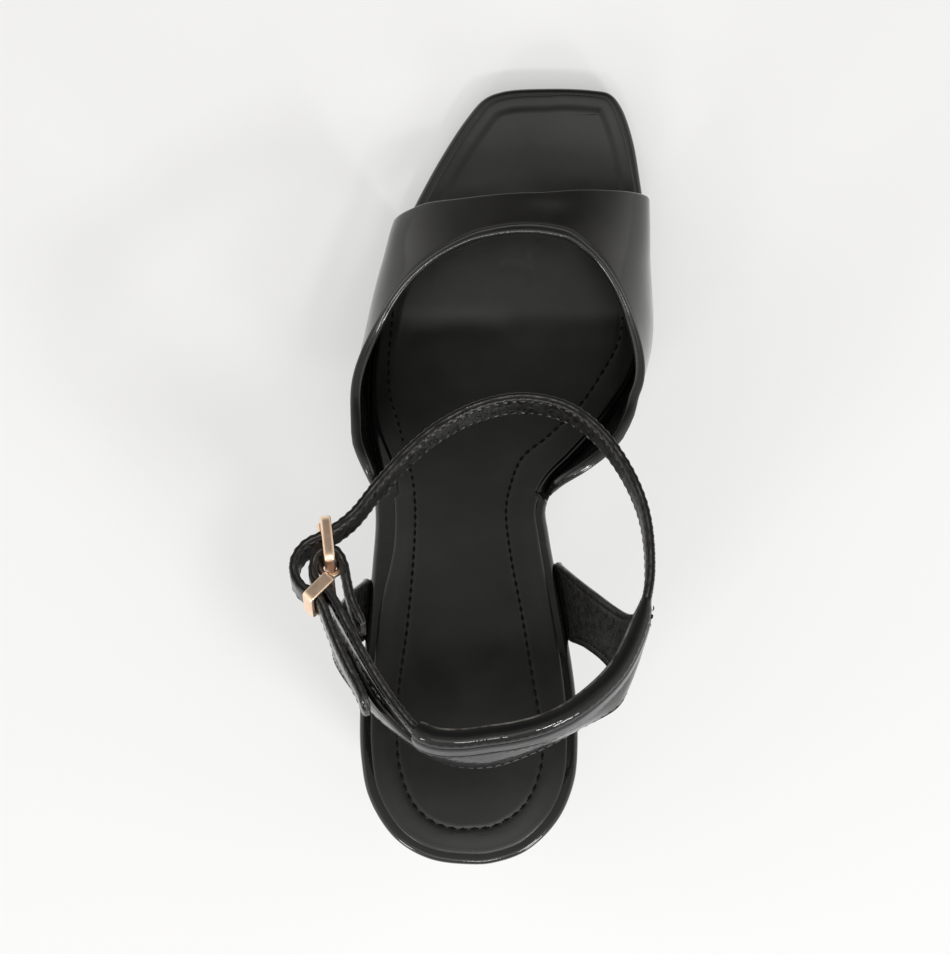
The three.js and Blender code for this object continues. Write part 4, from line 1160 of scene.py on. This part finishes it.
def stitches(name, line, outwards, pitch=STITCH_PITCH, length=1.5, radius=0.17, mat=THREAD):
    """Separate stitches along a line of points, half sunk in the surface under them."""
    line, outwards = np.asarray(line), np.asarray(outwards)
    run = run_along(line)

    def at(values, s):
        return np.stack([np.interp(s, run, values[:, k]) for k in range(3)], -1)

    verts, faces = [], []
    count, sides = int(run[-1] / pitch), 6
    profile = [(-0.5, 0.35), (-0.36, 0.85), (-0.12, 1), (0.12, 1), (0.36, 0.85), (0.5, 0.35)]
    for k in range(count):
        centre = (k + 0.5) * run[-1] / count
        s = np.array([centre + share * length for share, _ in profile])
        places, normals = at(line, s), unit(at(outwards, s))
        ahead = unit(np.gradient(places, axis=0))
        side = unit(np.cross(ahead, normals))
        start = len(verts)
        for j, (share, size) in enumerate(profile):
            lift_by = radius * (0.35 - 1.6 * (abs(share) * 2) ** 3)
            middle = places[j] + normals[j] * lift_by
            for q in range(sides):
                a = (q + 0.5) / sides * 2 * math.pi
                offset = math.cos(a) * side[j] + math.sin(a) * normals[j]
                verts.append(middle + offset * radius * size)
        faces += grid_faces(len(profile), sides, True, start)
        faces.append(tuple(range(start, start + sides)))
        last = start + (len(profile) - 1) * sides
        faces.append(tuple(range(last, last + sides)))
    piece = make(name, verts, faces, slots=[mat], sharp=80)


def sock_line(points):
    """Line over the sock's top, and the direction up from it."""
    line = sole_line(points, 900)
    z = sock_surface(line[:, 0], line[:, 1])
    line = np.column_stack([line, z])
    slope = board_top(line[:, 1] + 0.5) - board_top(line[:, 1] - 0.5)
    up = unit(np.column_stack([np.zeros_like(slope), -slope, np.ones_like(slope)]))
    return line, up


line, up = sock_line(STITCH_OUTER)
stitches("sock_stitches", line, up, SOCK_PITCH, 2.9, 0.26)
stitches("sock_stitch_holes", line, up, SOCK_PITCH, 1.1, 0.4)
t_all = even(0.004, 0.994, 0.8)
t_fold = even(min(MOUTHS) + 0.003, max(MOUTHS) - 0.003, 0.8)
for name, t, out, up_at, mat, length, radius in (
    ("strap_stitch_out_top", t_all, 1.08, STRAP_SEAM, THREAD, 1.3, 0.15),
    ("strap_stitch_out_low", t_all, 1.08, -STRAP_SEAM, THREAD, 1.3, 0.15),
    ("strap_stitch_in_top", t_all, -1.1, STRAP_SEAM, PALE_THREAD, 1.3, 0.15),
    ("strap_stitch_in_low", t_all, -1.1, -STRAP_SEAM, PALE_THREAD, 1.3, 0.15),
    ("fold_stitch_top", t_fold, 2.24, FOLD_SEAM, THREAD, 1.5, 0.17),
    ("fold_stitch_low", t_fold, 2.24, -FOLD_SEAM, THREAD, 1.5, 0.17),
):
    line = beside_strap(t, out, up_at)
    normal = (beside_strap(t, out + 0.1, up_at) - line) * np.sign(out)
    stitches(name, line, normal, mat=mat, length=length, radius=radius)
u_all = np.linspace(0.03, 0.97, 500)
outwards, width = sling_frame(u_all)
for name, level, sign in (
    ("sling_stitch_low_out", SLING_WALL - 0.12, 1),
    ("sling_stitch_low_in", 0.12, -1),
):
    v = (SLING_SEAM / width)[:, None]
    line = sling_face(u_all, v) + outwards * (level + SLING_BOW * np.sin(np.pi * v))
    stitches(name, line, outwards * sign)


# Floor, lights and camera

FLOOR_GLOW = 0.4  # light of its own, as on a light table
FLOOR_SIZE = 12
FLOOR_DROP = 0.0003
DARKEST = 0.06  # of the room around the shoe
AIM = (0, 0, 0.05)  # what the lights look at
CAMERA_OVER = 105.8  # along the sole, in millimetres
CAMERA_HEIGHT = 1.15
LENS = 146.24

bpy.ops.mesh.primitive_plane_add(size=FLOOR_SIZE, location=(0, 0, -FLOOR_DROP))
floor = bpy.context.object
floor.name = "floor"
FLOOR_MATERIAL = material(
    "pale floor", (0.5, 0.5, 0.508), 0.9, specular=0,
    tones=((0.496, 0.496, 0.504), (0.504, 0.504, 0.512)), tone_scale=3, glow=FLOOR_GLOW,
)
floor.data.materials.append(FLOOR_MATERIAL)

world = bpy.data.worlds.new("studio")
bpy.context.scene.world = world
world.use_nodes = True
sky = world.node_tree
sky.nodes.clear()
coords = sky.nodes.new("ShaderNodeTexCoord")
split = sky.nodes.new("ShaderNodeSeparateXYZ")
background = sky.nodes.new("ShaderNodeBackground")
output = sky.nodes.new("ShaderNodeOutputWorld")
sky.links.new(coords.outputs["Generated"], split.inputs[0])


def reckon(operation, a, b):
    """Output of a sum in the world's shader, from two numbers or outputs."""
    node = sky.nodes.new("ShaderNodeMath")
    node.operation = operation
    for socket, value in zip(node.inputs, (a, b)):
        if isinstance(value, (int, float)):
            socket.default_value = value
        else:
            sky.links.new(value, socket)
    return node.outputs[0]


# The room is brightest on the shoe's two sides and behind its heel, darkest before its toe
height = reckon("MAXIMUM", split.outputs["Z"], 0)
to_sides = reckon("POWER", reckon("ABSOLUTE", split.outputs["X"], 0), 3)
to_front = reckon("MULTIPLY", reckon("MULTIPLY", split.outputs["Y"], height), 0.7)
level = reckon("ADD", reckon("SUBTRACT", 0.5, to_front), reckon("MULTIPLY", to_sides, 0.95))
to_left = reckon("MAXIMUM", reckon("MULTIPLY", split.outputs["X"], -1), 0)
level = reckon("ADD", level, reckon("MULTIPLY", to_left, 0.3))
level = reckon("MAXIMUM", level, DARKEST)
background.inputs["Color"].default_value = (0.82, 0.81, 0.765, 1)
sky.links.new(level, background.inputs["Strength"])
sky.links.new(background.outputs[0], output.inputs[0])


def softbox(name, place, size, radiance):
    """Area light that looks at the shoe, with its brightness given as radiance."""
    lamp = bpy.data.lights.new(name, "AREA")
    lamp.shape = "RECTANGLE"
    lamp.size, lamp.size_y = size
    lamp.energy = radiance * math.pi * size[0] * size[1]
    holder = bpy.data.objects.new(name, lamp)
    bpy.context.scene.collection.objects.link(holder)
    holder.location = place
    direction = holder.location.copy()
    direction.x, direction.y, direction.z = (AIM[i] - place[i] for i in range(3))
    holder.rotation_euler = direction.to_track_quat("-Z", "Y").to_euler()


softbox("window_left", (-0.75, -1, 0.6), (0.24, 0.34), 16)
softbox("window_right", (0.8, -0.98, 0.6), (0.24, 0.34), 17)
softbox("rear_window", (0.1, -0.85, 1.25), (0.3, 0.1), 26)
softbox("rear_right_window", (0.6, -0.75, 1.2), (0.26, 0.14), 36)
softbox("top_rear_box", (0, -0.55, 1.5), (0.9, 0.7), 1.1)
softbox("top_front_box", (0, 0.16, 1.5), (0.9, 0.72), 0.2)

camera = bpy.data.cameras.new("camera")
camera.sensor_width = 36
camera.lens = LENS
viewer = bpy.data.objects.new("camera", camera)
bpy.context.scene.collection.objects.link(viewer)
viewer.location = (-SHIFT[0] / 1000, (CAMERA_OVER - SHIFT[1]) / 1000, CAMERA_HEIGHT)
camera.clip_start, camera.clip_end = 0.05, 50
bpy.context.scene.camera = viewer
bpy.context.scene.view_settings.view_transform = "Standard"
